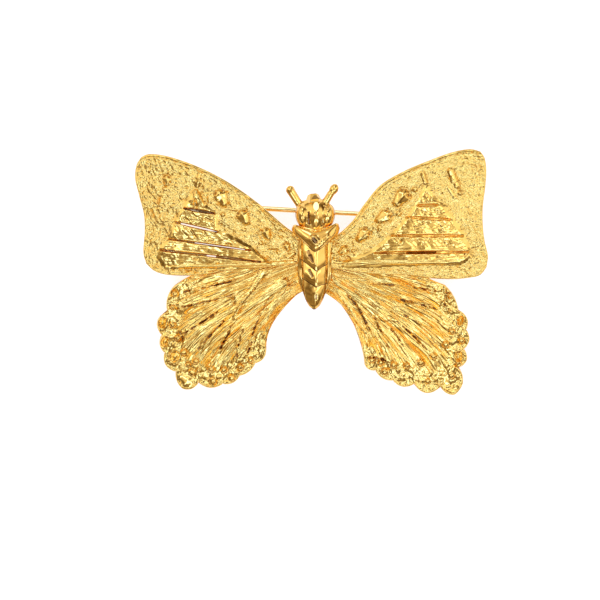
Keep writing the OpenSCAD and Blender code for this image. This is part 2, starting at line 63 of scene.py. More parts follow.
# A row is the direction of a glow, its reach in degrees and its brightness.
GLOWS = [
    (0, 0, 1, 38, 0.24), (0.4, 0, 0.9, 40, 0.22), (0, -0.6, 0.8, 34, 0.6),
    (-0.75, 0.5, 0.55, 34, 1.1), (0.85, 0.25, 0.5, 30, 1.3), (0, 0.9, 0.45, 30, 0.6),
    (-0.25, 0.6, 0.76, 24, 0.5), (-0.28, -0.42, 0.86, 13, 2.6), (0.28, -0.42, 0.86, 13, 1.2),
    (-0.32, 0.1, 0.94, 8, 6), (-0.12, -0.38, 0.92, 8, 6), (0.24, -0.4, 0.89, 9, 6),
    (0.1, 0.42, 0.9, 9, 7), (-0.34, -0.52, 0.78, 9, 6), (0.44, -0.48, 0.76, 9, 6),
    (0.6, -0.1, 0.8, 8, 6), (0, 0.81, 0.59, 10, 6)]
# A row is the place, the width, the depth and the brightness of a softbox, in metres.
SOFTBOXES = [(-0.36, 0.22, 0.66, 0.16, 0.3, 2.4), (0.34, 0.14, 0.66, 0.14, 0.34, 3)]


def linear(colour):
    """Linear red, green, blue and alpha of an sRGB hex colour."""
    parts = [int(colour[i:i + 2], 16) / 255 for i in (1, 3, 5)]
    return [c / 12.92 if c <= 0.04045 else ((c + 0.055) / 1.055) ** 2.4 for c in parts] + [1]


def add_node(tree, kind, inputs, **settings):
    """A shader node with its settings. An input is a value, an output that feeds it, or a node
    whose first output does."""
    node = tree.nodes.new("ShaderNode" + kind)
    for key, value in settings.items():
        setattr(node, key, value)
    for key, value in inputs.items():
        if isinstance(value, bpy.types.Node):
            value = value.outputs[0]
        if isinstance(value, bpy.types.NodeSocket):
            tree.links.new(value, node.inputs[key])
        else:
            node.inputs[key].default_value = value
    return node


def blend(tree, share, first, second):
    """The colour between two others that lies at a share of the way."""
    return add_node(tree, "Mix", {0: share, 6: first, 7: second}, data_type="RGBA").outputs[2]


def ramp(tree, value, low, high, start=0, end=1):
    """A value that changes smoothly from start to end while another goes from low to high."""
    return add_node(tree, "MapRange", {
        "Value": value, "From Min": low, "From Max": high, "To Min": start, "To Max": end},
        interpolation_type="SMOOTHSTEP")


def deselect():
    bpy.ops.object.select_all(action="DESELECT")


def new_material(name):
    material = bpy.data.materials.new(name)
    material.use_nodes = True
    material.node_tree.nodes.clear()
    return material, material.node_tree


def round_glow(tree, place, way, reach, start, end):
    """A value that changes from the rim of a cone, with a reach in degrees, to its middle."""
    facing = add_node(tree, "VectorMath", {
        0: place, 1: Vector(way).normalized()}, operation="DOT_PRODUCT")
    return ramp(tree, facing.outputs["Value"], np.cos(np.radians(reach)), 1, start, end)


world = bpy.data.worlds.new("light_tent")
bpy.context.scene.world = world
world.use_nodes = True
tree = world.node_tree
tree.nodes.clear()
place = add_node(tree, "TexCoord", {}).outputs["Generated"]
creases = add_node(tree, "TexNoise", {"Vector": place, "Scale": CREASES, "Detail": 1})
light = ramp(tree, creases, CREASE_LOW, CREASE_HIGH, CLOTH_DIM, CLOTH_BRIGHT)
for *way, reach, bright in GLOWS:
    light = add_node(tree, "Math", {0: light, 1: round_glow(tree, place, way, reach, 0, bright)})
hole = round_glow(tree, place, (0, 0, 1), HOLE_REACH, 1, HOLE_LIGHT)
light = add_node(tree, "Math", {0: light, 1: hole}, operation="MULTIPLY")
warmth = add_node(tree, "MapRange", {
    "Value": light, "From Min": CLOTH_DIM, "From Max": 2 * CLOTH_BRIGHT})
cloth = blend(tree, warmth, linear(TENT_DIM), linear(TENT))
cloth = blend(tree, ramp(tree, light, SPOT_FROM, SPOT_TO), cloth, linear(TENT_SPOT))
tent = add_node(tree, "Background", {"Color": cloth, "Strength": light})
add_node(tree, "OutputWorld", {"Surface": tent})
bpy.context.scene.view_settings.view_transform = "Standard"

for x, y, z, width, depth, bright in SOFTBOXES:
    bpy.ops.object.light_add(type="AREA", location=(x, y, z))
    softbox = bpy.context.object
    softbox.rotation_euler = Vector((x, y, z)).to_track_quat("Z", "Y").to_euler()
    softbox.data.shape = "RECTANGLE"
    softbox.data.size = width
    softbox.data.size_y = depth
    softbox.data.energy = bright * np.pi * width * depth
    softbox.data.color = linear(SOFTBOX)[:3]

deselect()
bpy.ops.mesh.primitive_plane_add(size=TABLE_W)
table = bpy.context.object
table.name = "table_top"
white_table, tree = new_material("white_laminate")
paint = add_node(tree, "BsdfPrincipled", {
    "Base Color": linear("#B8B8B8"), "Roughness": 0.7, "Emission Color": linear("#FFFFFF"),
    "Emission Strength": 0.74})
add_node(tree, "OutputMaterial", {"Surface": paint})
table.data.materials.append(white_table)


# Forewings: the two upper wings of one sand-textured casting in gold-plated brass. Bars
# stand up in the middle with pierced slots between them, beside teardrops and beads.
# Sizes are in mm: x from the middle out, y up the brooch, and z up from the table.
HALF_W, HALF_H = 31.75, 22.2
LEFT, RIGHT = -1, 1
FORE_T = 1.2
FORE_Z = 6.1
FORE_RISE = 0.5
TIP_DROP = 2
LAP_GAP = 0.2
FORE_EDGE_R = 0.35
RIM_H, RIM_W = 0.22, 0.3
BAR_H = 0.3
MOAT_DEPTH, MOAT_OUT, MOAT_W = 0.16, 0.85, 0.45
GROOVE_SLOPE, GROOVE_TAPER, SHADE_DEPTH = 0.18, 1.2, 0.35
# Height from which the mop polishes all of a ridge
MOPPED_H = 0.2
# Grain of the cast and of the bars: its height and size, and how far it is drawn out
SAND_COARSE, SAND_FINE = (0.22, 0.5, 1.4), (0.12, 0.3, 1.3)
SCRAPES_SHORT, SCRAPES_BROAD, SCRAPES_LONG = (0.09, 0.5, 3.5), (0.07, 1.4, 1.5), (0.05, 0.4, 8)
LONG_WAY = 5
LUMP_H, LUMP_W = 0.3, 2.3
FORE_CELLS = (230, 190)
# A sheet's thickness before its places are set, and the angle from which its edges are sharp
WALL, CAST_SHARP = 0.1, np.radians(62)
# Edges from the root outwards, and the margin from the lower corner up, in shares of HALF_W
# and HALF_H
FORE_LEAD_L = [
    (0.02, 0.25), (0.145, 0.37), (0.305, 0.565), (0.47, 0.73), (0.64, 0.855), (0.81, 0.94),
    (0.915, 0.96), (0.965, 0.935)]
FORE_TRAIL_L = [
    (0.02, 0.085), (0.145, 0.06), (0.305, 0.035), (0.47, 0.015), (0.64, -0.02), (0.8, -0.02),
    (0.885, 0.01), (0.935, 0.07)]
FORE_MARGIN_L = [
    (0.935, 0.07), (0.953, 0.165), (0.945, 0.33), (0.95, 0.475), (0.978, 0.63), (1, 0.765),
    (0.992, 0.87), (0.965, 0.935)]
FORE_LEAD_R = [
    (0.02, 0.24), (0.14, 0.305), (0.23, 0.42), (0.3, 0.56), (0.39, 0.71), (0.52, 0.82),
    (0.66, 0.905), (0.795, 0.975), (0.895, 1), (0.955, 0.98)]
FORE_TRAIL_R = [
    (0.02, 0.07), (0.14, 0.03), (0.255, 0.005), (0.385, -0.015), (0.53, -0.02), (0.67, -0.045),
    (0.795, -0.053), (0.89, -0.042), (0.952, -0.02), (0.99, 0.045)]
FORE_MARGIN_R = [
    (0.99, 0.045), (0.998, 0.14), (0.978, 0.265), (0.968, 0.41), (0.97, 0.55), (0.983, 0.69),
    (0.989, 0.83), (0.98, 0.925), (0.955, 0.98)]
# Grooves between the bars, from the lowest up. A row is the inner end, the outer end, the
# half width, from where to where across the groove is pierced, and its painted shade, which
# also sinks it.
GROOVES_L = [
    (9.2, 1.9, 27.2, 4.1, 0.1, 17.1, 18.9, 0.8), (11.1, 4, 25.5, 6, 0.06, 11.9, 21, 0.8),
    (16.9, 7.3, 24.3, 9, 0.12, 16.9, 23.6, 0.8), (17.5, 10.6, 22.8, 11.5, 0.16, 0, 0, 0.9)]
GROOVES_R = [
    (11.3, 3.5, 28.1, 3.7, 0.16, 0, 0, 0.5), (14.4, 6.6, 27.1, 6.6, 0.13, 0, 0, 0.45),
    (17, 9.9, 24.9, 9.5, 0.13, 0, 0, 0.45), (18.9, 12, 22.6, 12.1, 0.13, 0, 0, 0.45)]
# Outline of the raised bars
BARS_L = [
    (20.8, 14.7), (21.8, 13.2), (22.9, 11.4), (24.3, 9.2), (25.3, 6), (27.1, 4), (27.1, 2.5),
    (26.3, 1.5), (16.4, 1.2), (7.6, 1.3), (11.1, 4.4), (16.9, 7.3), (17.5, 10.6), (19.5, 11.9)]
BARS_R = [
    (20.5, 15.2), (19.3, 12.5), (17.6, 10.1), (14.6, 6.7), (11, 3.7), (5.8, 1.5), (5.8, 1.2),
    (17.8, 1.6), (27.2, 2.1), (28.2, 2.9), (28.2, 3.9), (26.8, 6.9), (25, 9.7), (22.9, 12.1),
    (21.5, 13.2)]
# Teardrops: place, radius and the direction of the pitted end in degrees
DROPS_L = [
    (26, 16.5, 0.75, 88), (16.1, 13.3, 1.2, 66), (12.1, 9.8, 1.1, 63), (8.1, 6.9, 0.85, 65),
    (4.4, 4.6, 0.6, 70)]
DROPS_R = [(15.9, 13.3, 1.3, 50), (12.8, 9.9, 1.15, 35), (9.1, 6.6, 1.05, 45), (5.6, 3.9, 0.7, 30)]
# Ridges and long pits: two ends, the half width at each, and the height. A row of four is a
# bead or a round pit: place, radius and height.
MARKS_L = [
    (26.3, 15, 0.42, 0.3), (26.7, 13.8, 27, 12.6, 0.25, 0.25, 0.15),
    (27.3, 13.6, 27.6, 12.5, 0.25, 0.25, -0.25), (20, 17.8, 20.5, 15.5, 0.3, 0.42, 0.3),
    (20.9, 13.3, 20.8, 12, 0.12, 0.55, -0.35), (20.6, 14.6, 21.4, 12.3, 0.3, 0.25, 0.22),
    (20.6, 14.6, 19.4, 12.2, 0.3, 0.25, 0.22), (15.9, 10.4, 0.4, 0.3), (12.1, 7.7, 0.38, 0.3),
    (9.8, 6.9, 0.3, 0.25), (9.1, 5.3, 0.4, 0.3), (7.4, 4.4, 0.35, 0.3), (6, 3.7, 0.35, 0.3),
    (15.2, 11.5, 13.6, 11.2, 0.25, 0.2, 0.2), (16.4, 9.2, 14.4, 7.9, 0.25, 0.2, 0.2),
    (4.3, 2.8, 3.2, 3.4, 0.4, 0.3, 0.3), (5.4, 2.4, 3.4, 2.3, 0.25, 0.25, 0.2),
    (26.1, 0.9, 3, 1.8, 0.3, 0.35, 0.3), (18.4, 5.7, 17.8, 5.6, 0.25, 0.3, -0.25),
    (15.2, 5.1, 14.6, 5, 0.3, 0.35, -0.3), (21.6, 7.7, 20.7, 6.3, 0.18, 0.12, -0.2),
    (19.4, 7.6, 18.8, 6.5, 0.2, 0.12, -0.2), (18.9, 9.6, 17.9, 9.3, 0.35, 0.2, -0.25),
    (23.1, 9.9, 22.5, 9.5, 0.2, 0.2, -0.15), (24.6, 4.7, 0.25, -0.2),
    (20.6, 2.5, 21.2, 2.5, 0.25, 0.2, -0.25), (17.2, 1.8, 16.6, 1.8, 0.18, 0.15, -0.18),
    (22.5, 0.6, 22.2, 0.4, 0.3, 0.3, -0.25), (20.9, 0.2, 20.4, 0.1, 0.3, 0.2, -0.2)]
MARKS_R = [
    (19.8, 17.9, 20.4, 16.1, 0.4, 0.42, 0.35), (24.9, 18.2, 25.5, 16.6, 0.6, 0.7, 0.5),
    (25.9, 16.1, 26.1, 15.6, 0.6, 0.6, 0.45), (26.6, 14.3, 0.45, 0.4),
    (24.2, 15.6, 25.7, 13.4, 0.22, 0.3, 0.22), (18.5, 14.9, 0.5, 0.4),
    (15.7, 11.9, 15.6, 11.5, 0.4, 0.3, 0.3), (15.6, 10.6, 0.5, 0.35),
    (12.1, 8.2, 12.1, 7.6, 0.35, 0.3, 0.3), (7.4, 3.9, 0.35, 0.3),
    (4.4, 2.3, 4.2, 2.3, 0.3, 0.3, 0.3), (3.6, 5.9, 3.4, 4.5, 0.4, 0.4, 0.35),
    (3.7, 3.2, 3.5, 2.6, 0.35, 0.35, 0.3), (4.6, 5, 0.35, 0.3),
    (20.6, 14.3, 21.3, 13.3, 0.1, 0.3, -0.22), (19.9, 10.9, 0.25, -0.25), (22.6, 11, 0.25, -0.25),
    (20, 8.9, 0.3, -0.25), (17.1, 3.6, 22.1, 3.65, 0.22, 0.2, -0.5),
    (22.8, 8.6, 23.3, 7.8, 0.2, 0.25, -0.2), (18.6, 8.2, 18.4, 8.1, 0.3, 0.2, -0.25),
    (15.9, 5.9, 15.9, 5.3, 0.25, 0.25, -0.25), (19.9, 5.2, 0.25, -0.2),
    (23.9, 5.2, 24.2, 4.9, 0.25, 0.2, -0.2), (27.6, 3.1, 0.4, -0.25),
    (4.2, 1.9, 26.5, 1.7, 0.3, 0.4, 0.2), (29.4, 19.3, 29.6, 19, 0.25, 0.15, -0.25)]


def smooth(t):
    t = np.clip(t, 0, 1)
    return t * t * (3 - 2 * t)


def mix(a, b, t):
    return a + (b - a) * t


def row_at(rows, t):
    """The row that t has passed, as it goes from 0 to 1 along them, and how far past it."""
    last = len(rows) - 1
    s = np.clip(np.asarray(t, float) * last, 0, last - 1e-5)
    i = np.floor(s).astype(int)
    return i, (s - i)[..., None]


def curve(rows, t):
    """Points on a smooth line through the rows of a table, t from 0 to 1."""
    p = np.array(rows, float)
    i, f = row_at(p, t)
    a, b, c, d = p[np.maximum(i - 1, 0)], p[i], p[i + 1], p[np.minimum(i + 2, len(p) - 1)]
    return (2 * b + (c - a) * f + (2 * a - 5 * b + 4 * c - d) * f ** 2
            + (3 * b - a - 3 * c + d) * f ** 3) / 2


def edge(rows, t):
    return curve(rows, t) * (HALF_W, HALF_H)


def patch(low, high, rim, u, v):
    """Places on a sheet between its lower edge, its upper edge and its margin."""
    u, v = u[..., None], v[..., None]
    inside = mix(edge(low, u[..., 0]), edge(high, u[..., 0]), v)
    return inside + u * (rim(v[..., 0]) - mix(edge(low, 1.0), edge(high, 1.0), v))


def along(x, y, ax, ay, bx, by):
    """How far off the line between two ends each place is, and where beside it, 0 to 1."""
    dx, dy = bx - ax, by - ay
    t = np.clip(((x - ax) * dx + (y - ay) * dy) / max(dx * dx + dy * dy, 1e-9), 0, 1)
    return np.hypot(x - ax - t * dx, y - ay - t * dy), t


def off_line(x, y, points):
    """How far off the line through all the points each place is."""
    ends = zip(points[:-1], points[1:])
    return np.min([along(x, y, *a, *b)[0] for a, b in ends], axis=0)


def inside(x, y, corners):
    """True for each place within the outline."""
    found = np.zeros(x.shape, bool)
    for (ax, ay), (bx, by) in zip(corners, corners[1:] + corners[:1]):
        if ay != by:
            found ^= ((ay > y) != (by > y)) & (x < ax + (y - ay) * (bx - ax) / (by - ay))
    return found


def relief(x, y, marks):
    """Heights of the raised marks, and of the sunk ones."""
    up, down = np.zeros(x.shape), np.zeros(x.shape)
    for mark in marks:
        if len(mark) == 4:
            at_x, at_y, r, height = mark
            mark = at_x, at_y, at_x, at_y, r, r, height
        ax, ay, bx, by, wide_a, wide_b, height = mark
        off, t = along(x, y, ax, ay, bx, by)
        form = np.clip(1 - (off / mix(wide_a, wide_b, t)) ** 2, 0, 1)
        if height > 0:
            up = np.maximum(up, height * form ** 0.6)
        else:
            down = np.minimum(down, height * form)
    return up, down


def teardrops(x, y, drops):
    """Heights of the keeled teardrops in their moats, with two pits at the blunt end, and the
    shade painted at each place: warm in the moats, a painted reflection, and dark brown in the
    pits, a painted shadow."""
    heights, painted_drop_shade = np.zeros(x.shape), np.zeros(x.shape)
    for at_x, at_y, r, lean in drops:
        c, s = np.cos(np.radians(lean)), np.sin(np.radians(lean))
        off, t = along(x, y, at_x - 0.75 * r * c, at_y - 0.75 * r * s,
                       at_x + 0.4 * r * c, at_y + 0.4 * r * s)
        off /= mix(0.6 * r, 0.98 * r, t)
        dome = np.clip(1 - off ** 2, 0, 1)
        across = (y - at_y) * c - (x - at_x) * s
        moat = np.exp(-((off - 1.15) / 0.14) ** 2)
        keel = 0.1 * r * dome * np.exp(-(across / (0.2 * r)) ** 2)
        heights += 0.36 * r * dome ** 0.8 + keel - 0.13 * moat
        painted_drop_shade = np.maximum(painted_drop_shade, 0.35 * moat)
        for side in (-0.6, 0.6):
            pit = (at_x + r * (1.05 * c - side * s), at_y + r * (1.05 * s + side * c))
            form = np.exp(-(np.hypot(x - pit[0], y - pit[1]) / (0.22 * r)) ** 2)
            heights -= 0.25 * form
            painted_drop_shade = np.maximum(painted_drop_shade, form)
    return heights, painted_drop_shade


def grain(x, y, size, seed):
    """Smooth random heights, about -0.6 to 0.6, whose lumps are about size across."""
    places = zip((x / size).ravel(), (y / size).ravel())
    return np.array([noise.noise((a, b, seed)) for a, b in places]).reshape(x.shape)


def turned(x, y, way, stretch=1):
    """Places turned to a direction in degrees, and closed up along it."""
    c, s = np.cos(np.radians(way)), np.sin(np.radians(way))
    return (x * c + y * s) / stretch, y * c - x * s


def streaks(x, y, way, form, seed):
    """Grain of one of the forms above, drawn out in a direction."""
    height, size, stretch = form
    return height * grain(*turned(x, y, way, stretch), size, seed)


def blurred(heights, reach):
    """Heights averaged over reach cells each way."""
    for axis in (0, 1):
        rim = [(reach, reach) if a == axis else (0, 0) for a in (0, 1)]
        wide = np.pad(heights, rim, mode="edge")
        shifts = [np.roll(wide, k, axis) for k in range(-reach, reach + 1)]
        heights = np.mean(shifts, axis=0).take(range(reach, wide.shape[axis] - reach), axis)
    return heights


def read(items, name, size):
    """A value of each vertex or face, of one number or of more."""
    values = np.empty(len(items) * size)
    items.foreach_get(name, values)
    return values.reshape(len(items), size) if size > 1 else values


def write(piece, name, values):
    """A value for each vertex, which the finish reads."""
    data = piece.data.attributes.new(name, "FLOAT", "POINT").data
    data.foreach_set("value", values.astype(np.float32))


def modify(piece, kind, **settings):
    """Changes a piece by a modifier with its settings."""
    change = piece.modifiers.new(kind, kind)
    for key, value in settings.items():
        setattr(change, key, value)
    bpy.context.view_layer.objects.active = piece
    bpy.ops.object.modifier_apply(modifier=change.name)


def cast_sheet(name, cells, outward, open_cells, tops, backs, layers):
    """A closed sheet of cells. Each place in tops and backs is x, y and z in mm, for a column
    and a row of the sheet, and layers are values that its finish reads."""
    deselect()
    bpy.ops.mesh.primitive_grid_add(x_subdivisions=cells[0], y_subdivisions=cells[1], size=1)
    piece = bpy.context.object
    piece.name = piece.data.name = name
    if open_cells is not None:
        middle = read(piece.data.polygons, "center", 3)
        column = np.floor((outward * middle[:, 0] + 0.5) * cells[0]).astype(int)
        row = np.floor((middle[:, 1] + 0.5) * cells[1]).astype(int)
        bpy.context.tool_settings.mesh_select_mode = (False, False, True)
        bpy.ops.object.mode_set(mode="EDIT")
        bpy.ops.mesh.select_all(action="DESELECT")
        bpy.ops.object.mode_set(mode="OBJECT")
        piece.data.polygons.foreach_set("select", open_cells[column, row])
        bpy.ops.object.mode_set(mode="EDIT")
        bpy.ops.mesh.delete(type="FACE")
        bpy.ops.object.mode_set(mode="OBJECT")
    modify(piece, "SOLIDIFY", thickness=WALL, offset=-1)
    places = read(piece.data.vertices, "co", 3)
    column = np.rint((outward * places[:, 0] + 0.5) * cells[0]).astype(int)
    row = np.rint((places[:, 1] + 0.5) * cells[1]).astype(int)
    front = places[:, 2] > -WALL / 2
    places = np.where(front[:, None], tops[column, row], backs[column, row])
    piece.data.vertices.foreach_set("co", (places * (outward, 1, 1) * MM).ravel())
    for layer, values in layers.items():
        write(piece, layer, np.where(front, values[column, row], 0))
    piece.data.update()
    bpy.ops.object.shade_smooth_by_angle(angle=CAST_SHARP)
    return piece


def fore_back(x):
    """Height of the forewings' back, which rises from the root and falls to the tips."""
    out = x / HALF_W
    rise = FORE_RISE * smooth((out - 0.18) / 0.28)
    return FORE_Z + rise - TIP_DROP * np.clip((out - 0.46) / 0.54, 0, 1) ** 2


def rounded(off, radius):
    """How far an edge of that radius falls, from how far in each place is."""
    return radius - np.sqrt(radius ** 2 - np.clip(radius - off, 0, radius) ** 2)


def groove_rows(low, high, rim, grooves, u):
    """Where each column crosses the grooves' edges, as shares of its length, and the row
    of cells that starts there."""
    v = np.linspace(0, 1, 400)
    fine = patch(low, high, rim, u[:, None], v[None, :])
    tall = np.hypot(*(fine[:, -1] - fine[:, 0]).T)
    knots = [np.zeros(len(u))]
    for ax, ay, bx, by, half, _, _, _ in grooves:
        off = (fine[..., 1] - ay) * (bx - ax) - (fine[..., 0] - ax) * (by - ay)
        cross = np.array([np.interp(0, o, v) for o in off])
        x = np.array([np.interp(c, v, line) for c, line in zip(cross, fine[..., 0])])
        reach = np.clip(np.minimum(x - ax, bx - x) / GROOVE_TAPER, 0.2, 1)
        held = np.flatnonzero((x > ax) & (x < bx))
        cross = np.where(x < ax, cross[held[0]], np.where(x > bx, cross[held[-1]], cross))
        knots += [cross - half * reach / tall, cross + half * reach / tall]
    knots.append(np.ones(len(u)))
    knots = np.array(knots)
    share = np.mean(knots, axis=1)
    first = np.rint(share * FORE_CELLS[1]).astype(int)
    for k in range(1, len(first)):
        first[k] = max(first[k], first[k - 1] + 3)
    first[-1] = FORE_CELLS[1]
    return knots, first


def forewing(name, outward, low, high, margin, grooves, bars, drops, marks, coarse, sand_way,
             scrape_way, seed):
    """A forewing. Coarse is the share of the coarse sand, and the ways are the directions, in
    degrees, of the sand and of the scrapes on the bars."""
    columns, rows = FORE_CELLS
    u = np.linspace(0, 1, columns + 1)

    def rim(t):
        return edge(margin, t)

    knots, first = groove_rows(low, high, rim, grooves, u)
    v = np.array([np.interp(range(rows + 1), first, column) for column in knots.T])
    flat = patch(low, high, rim, np.broadcast_to(u[:, None], v.shape), v)
    x, y = flat[..., 0], flat[..., 1]

    t = np.linspace(0, 1, 60)
    lead_off = off_line(x, y, edge(high, t))
    edge_off = np.minimum(lead_off, off_line(x, y, np.vstack([edge(low, t), rim(t)])))
    bars_off = off_line(x, y, bars + bars[:1]) * np.where(inside(x, y, bars), 1, -1)
    on_bars = np.clip((bars_off + 0.5) / 0.6, 0, 1)
    moat = np.exp(-((bars_off + MOAT_OUT) / MOAT_W) ** 2) * (0.6 + grain(x, y, 1.8, seed + 1))
    up, down = relief(x, y, marks)
    domes, painted_drop_shade = teardrops(x, y, drops)

    # Each groove gets its painted shade, warm or dark brown, which also sinks it deeper.
    groove, shade = np.zeros(x.shape), np.zeros(x.shape)
    pierced = np.zeros((columns, rows), bool)
    for k, (ax, ay, bx, by, half, start, end, dark) in enumerate(grooves):
        off, t = along(x, y, ax, ay, bx, by)
        half = half * np.clip(4 * np.minimum(t, 1 - t), 0.35, 1)
        form = 1 - smooth((off - half) / GROOVE_SLOPE)
        groove = np.maximum(groove, form)
        shade = np.maximum(shade, dark * form)
        line = x[:, first[2 * k + 1]]
        cut = (line[:-1] > start) & (line[1:] < end)
        pierced[cut, first[2 * k + 1]:first[2 * k + 2]] = True

    rolled = RIM_H * (1 - smooth((lead_off - RIM_W) / 0.25))
    seam = 0.1 * np.exp(-((lead_off - 0.85) / 0.14) ** 2)
    rib = np.maximum(rolled + seam, 0.1 * (1 - smooth((edge_off - 0.15) / 0.3)))
    raised = np.maximum.reduce([up, domes, rib]) / MOPPED_H
    polish = np.clip(np.maximum(smooth((bars_off + 0.65) / 0.2), raised), 0, 1)
    sand = (coarse * streaks(x, y, sand_way, SAND_COARSE, seed)
            + streaks(x, y, sand_way, SAND_FINE, seed + 5)) * (1 - 0.9 * polish)
    lumps = LUMP_H * grain(x, y, LUMP_W, seed + 9) * (1 - 0.6 * on_bars)
    upper = mix(0.35, 1, smooth((y - 4.5) / 1.5))
    scrape = (upper * streaks(x, y, scrape_way, SCRAPES_SHORT, seed + 3)
              + upper * streaks(x, y, scrape_way, SCRAPES_BROAD, seed + 4)
              + streaks(x, y, LONG_WAY, SCRAPES_LONG, seed + 7))
    height = (BAR_H * (on_bars - groove) - SHADE_DEPTH * shade - MOAT_DEPTH * moat + rib + up
              + down + domes + lumps + scrape * on_bars * (1 - groove))
    # Painted shade: darker where a place lies below the heights round it, and in the grooves, pits,
    # moats and teardrops, as their own painted shade says.
    painted_shade = np.clip((blurred(height, 4) - height - 0.6 * sand) / 0.35, 0, 1)
    painted_shade = np.maximum.reduce([
        0.7 * painted_shade, shade, np.clip(-down / 0.5, 0, 0.8), painted_drop_shade, 0.35 * moat])
    height += sand
    back = fore_back(x)
    tops = np.dstack([x, y, back + FORE_T + height - rounded(edge_off, FORE_EDGE_R)])
    layers = {"painted_shade": painted_shade, "polish": polish}
    piece = cast_sheet(name, FORE_CELLS, outward, pierced, tops, np.dstack([x, y, back]), layers)
    piece.data.materials.append(cast_gold)
    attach(piece, "brooch")
    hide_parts("forewings")
    return piece


# Gold plate over a casting from a sand-textured mould: satin, grainy and warm, and bright on
# the bars and beads, which the polishing mop reaches. Shade is painted into its colour: warm
# orange, a painted reflection of gold in gold, where a little is painted, and dark brown, a
# painted shade, in the deep hollows. Clear lacquer over it makes the brightest points pale.
cast_gold, tree = new_material("gold_plate_on_textured_casting")
place = add_node(tree, "TexCoord", {}).outputs["Object"]
painted_shade = add_node(tree, "Attribute", {}, attribute_name="painted_shade").outputs["Fac"]
polish = add_node(tree, "Attribute", {}, attribute_name="polish").outputs["Fac"]
patches = add_node(tree, "TexNoise", {"Vector": place, "Scale": 1 / (2.5 * MM), "Detail": 2})
tint = blend(tree, patches, linear("#F9CC68"), linear("#F5BF56"))
# Painted reflection and painted shade: the colour turns warm, then dark brown, as more shade is
# painted.
warm = blend(tree, ramp(tree, painted_shade, 0, 0.5), tint, linear("#E8AE48"))
dark = blend(tree, ramp(tree, painted_shade, 0.45, 1), warm, linear("#7A5630"))
shine = add_node(tree, "MapRange", {"Value": polish, "To Min": 0.24, "To Max": 0.13})
fine_sand = add_node(tree, "TexNoise", {"Vector": place, "Scale": 1 / (0.16 * MM), "Detail": 3})
sand_depth = add_node(tree, "MapRange", {"Value": polish, "To Min": 0.45, "To Max": 0.08})
bump = add_node(tree, "Bump", {
    "Height": fine_sand, "Strength": sand_depth, "Distance": 0.12 * MM})
metal = add_node(tree, "BsdfPrincipled", {
    "Base Color": dark, "Metallic": 1, "Roughness": shine, "Normal": bump, "Coat Weight": 0.6,
    "Coat Roughness": 0.12, "Coat Normal": bump})
add_node(tree, "OutputMaterial", {"Surface": metal})

forewing("forewing_left", LEFT, FORE_TRAIL_L, FORE_LEAD_L, FORE_MARGIN_L, GROOVES_L, BARS_L,
         DROPS_L, MARKS_L, 1, 70, 40, 11)
forewing("forewing_right", RIGHT, FORE_TRAIL_R, FORE_LEAD_R, FORE_MARGIN_R, GROOVES_R, BARS_R,
         DROPS_R, MARKS_R, 0.7, -25, -50, 37)


# Hindwings: the two lower wings of the second casting, lapped under the forewings. Fine
# lines fan out from the root to a scalloped margin that is set with pearls.
HIND_T = 1
HIND_CELLS = (112, 410)
# How much closer the cells are at the margin, where the pearls need them
CLOSER = 0.45
HIND_EDGE_R = 0.3
# Relief along the wing: flutes to the scallops, folds and fine lines, with how many there
# are across and along the wing, and broad swells
FLUTE_H, FOLD_H, LINE_H = 0.14, 0.18, 0.26
FOLDS, LINES = (34, 3), (66, 7)
SWELL_H, SWELL_W = 0.25, 3.2
# Border at the margin, with crumbs and a raised line
BORDER_W, BORDER_FADE = 3.6, 1.2
CRUMB_H, CRUMB_W, MARGIN_H = 0.24, 0.8, 0.12
TIP = 5
HIND_INNER_L = [
    (0.03, -0.14), (0.088, -0.18), (0.145, -0.25), (0.203, -0.345), (0.24, -0.44), (0.257, -0.53),
    (0.26, -0.605)]
HIND_LEAD_L = [
    (0.02, 0.15), (0.12, 0.135), (0.29, 0.1), (0.45, 0.065), (0.6, 0.02), (0.69, -0.025),
    (0.765, -0.09)]
HIND_INNER_R = [
    (0.07, -0.16), (0.152, -0.24), (0.197, -0.32), (0.238, -0.42), (0.272, -0.545), (0.293, -0.66),
    (0.299, -0.735)]
HIND_LEAD_R = [
    (0.02, 0.15), (0.16, 0.12), (0.33, 0.085), (0.47, 0.05), (0.6, 0.005), (0.68, -0.055),
    (0.75, -0.095)]
# Scallops: a notch, in shares as above, and the swell of the scallop after it, as a share
# of its chord. Row TIP is the pointed end of the wing.
SCALLOPS_L = [
    (0.26, -0.605, 0.23), (0.32, -0.735, 0.14), (0.41, -0.838, 0.2), (0.506, -0.903, 0.2),
    (0.644, -0.893, 0.2), (0.735, -0.945, 0.15), (0.774, -0.803, 0.26), (0.837, -0.65, 0.21),
    (0.853, -0.505, 0.33), (0.818, -0.315, 0.16), (0.765, -0.09, 0)]
SCALLOPS_R = [
    (0.299, -0.735, 0.22), (0.364, -0.793, 0.18), (0.463, -0.875, 0.23), (0.584, -0.902, 0.31),
    (0.734, -0.925, 0.16), (0.812, -0.995, 0.25), (0.838, -0.773, 0.3), (0.867, -0.62, 0.23),
    (0.878, -0.462, 0.25), (0.832, -0.304, 0.1), (0.75, -0.095, 0)]
# Dashes: least and most of the length, the half width, the height and the gap, how far they
# wander, and the width and the height of the lip round each
DASH_LENGTH, DASH_HALF, DASH_H, DASH_GAP = (0.2, 0.9), (0.15, 0.28), (-0.5, -0.25), (0.5, 0.85)
DASH_WANDER, LIP_W, LIP_H = 0.22, 0.2, 0.12
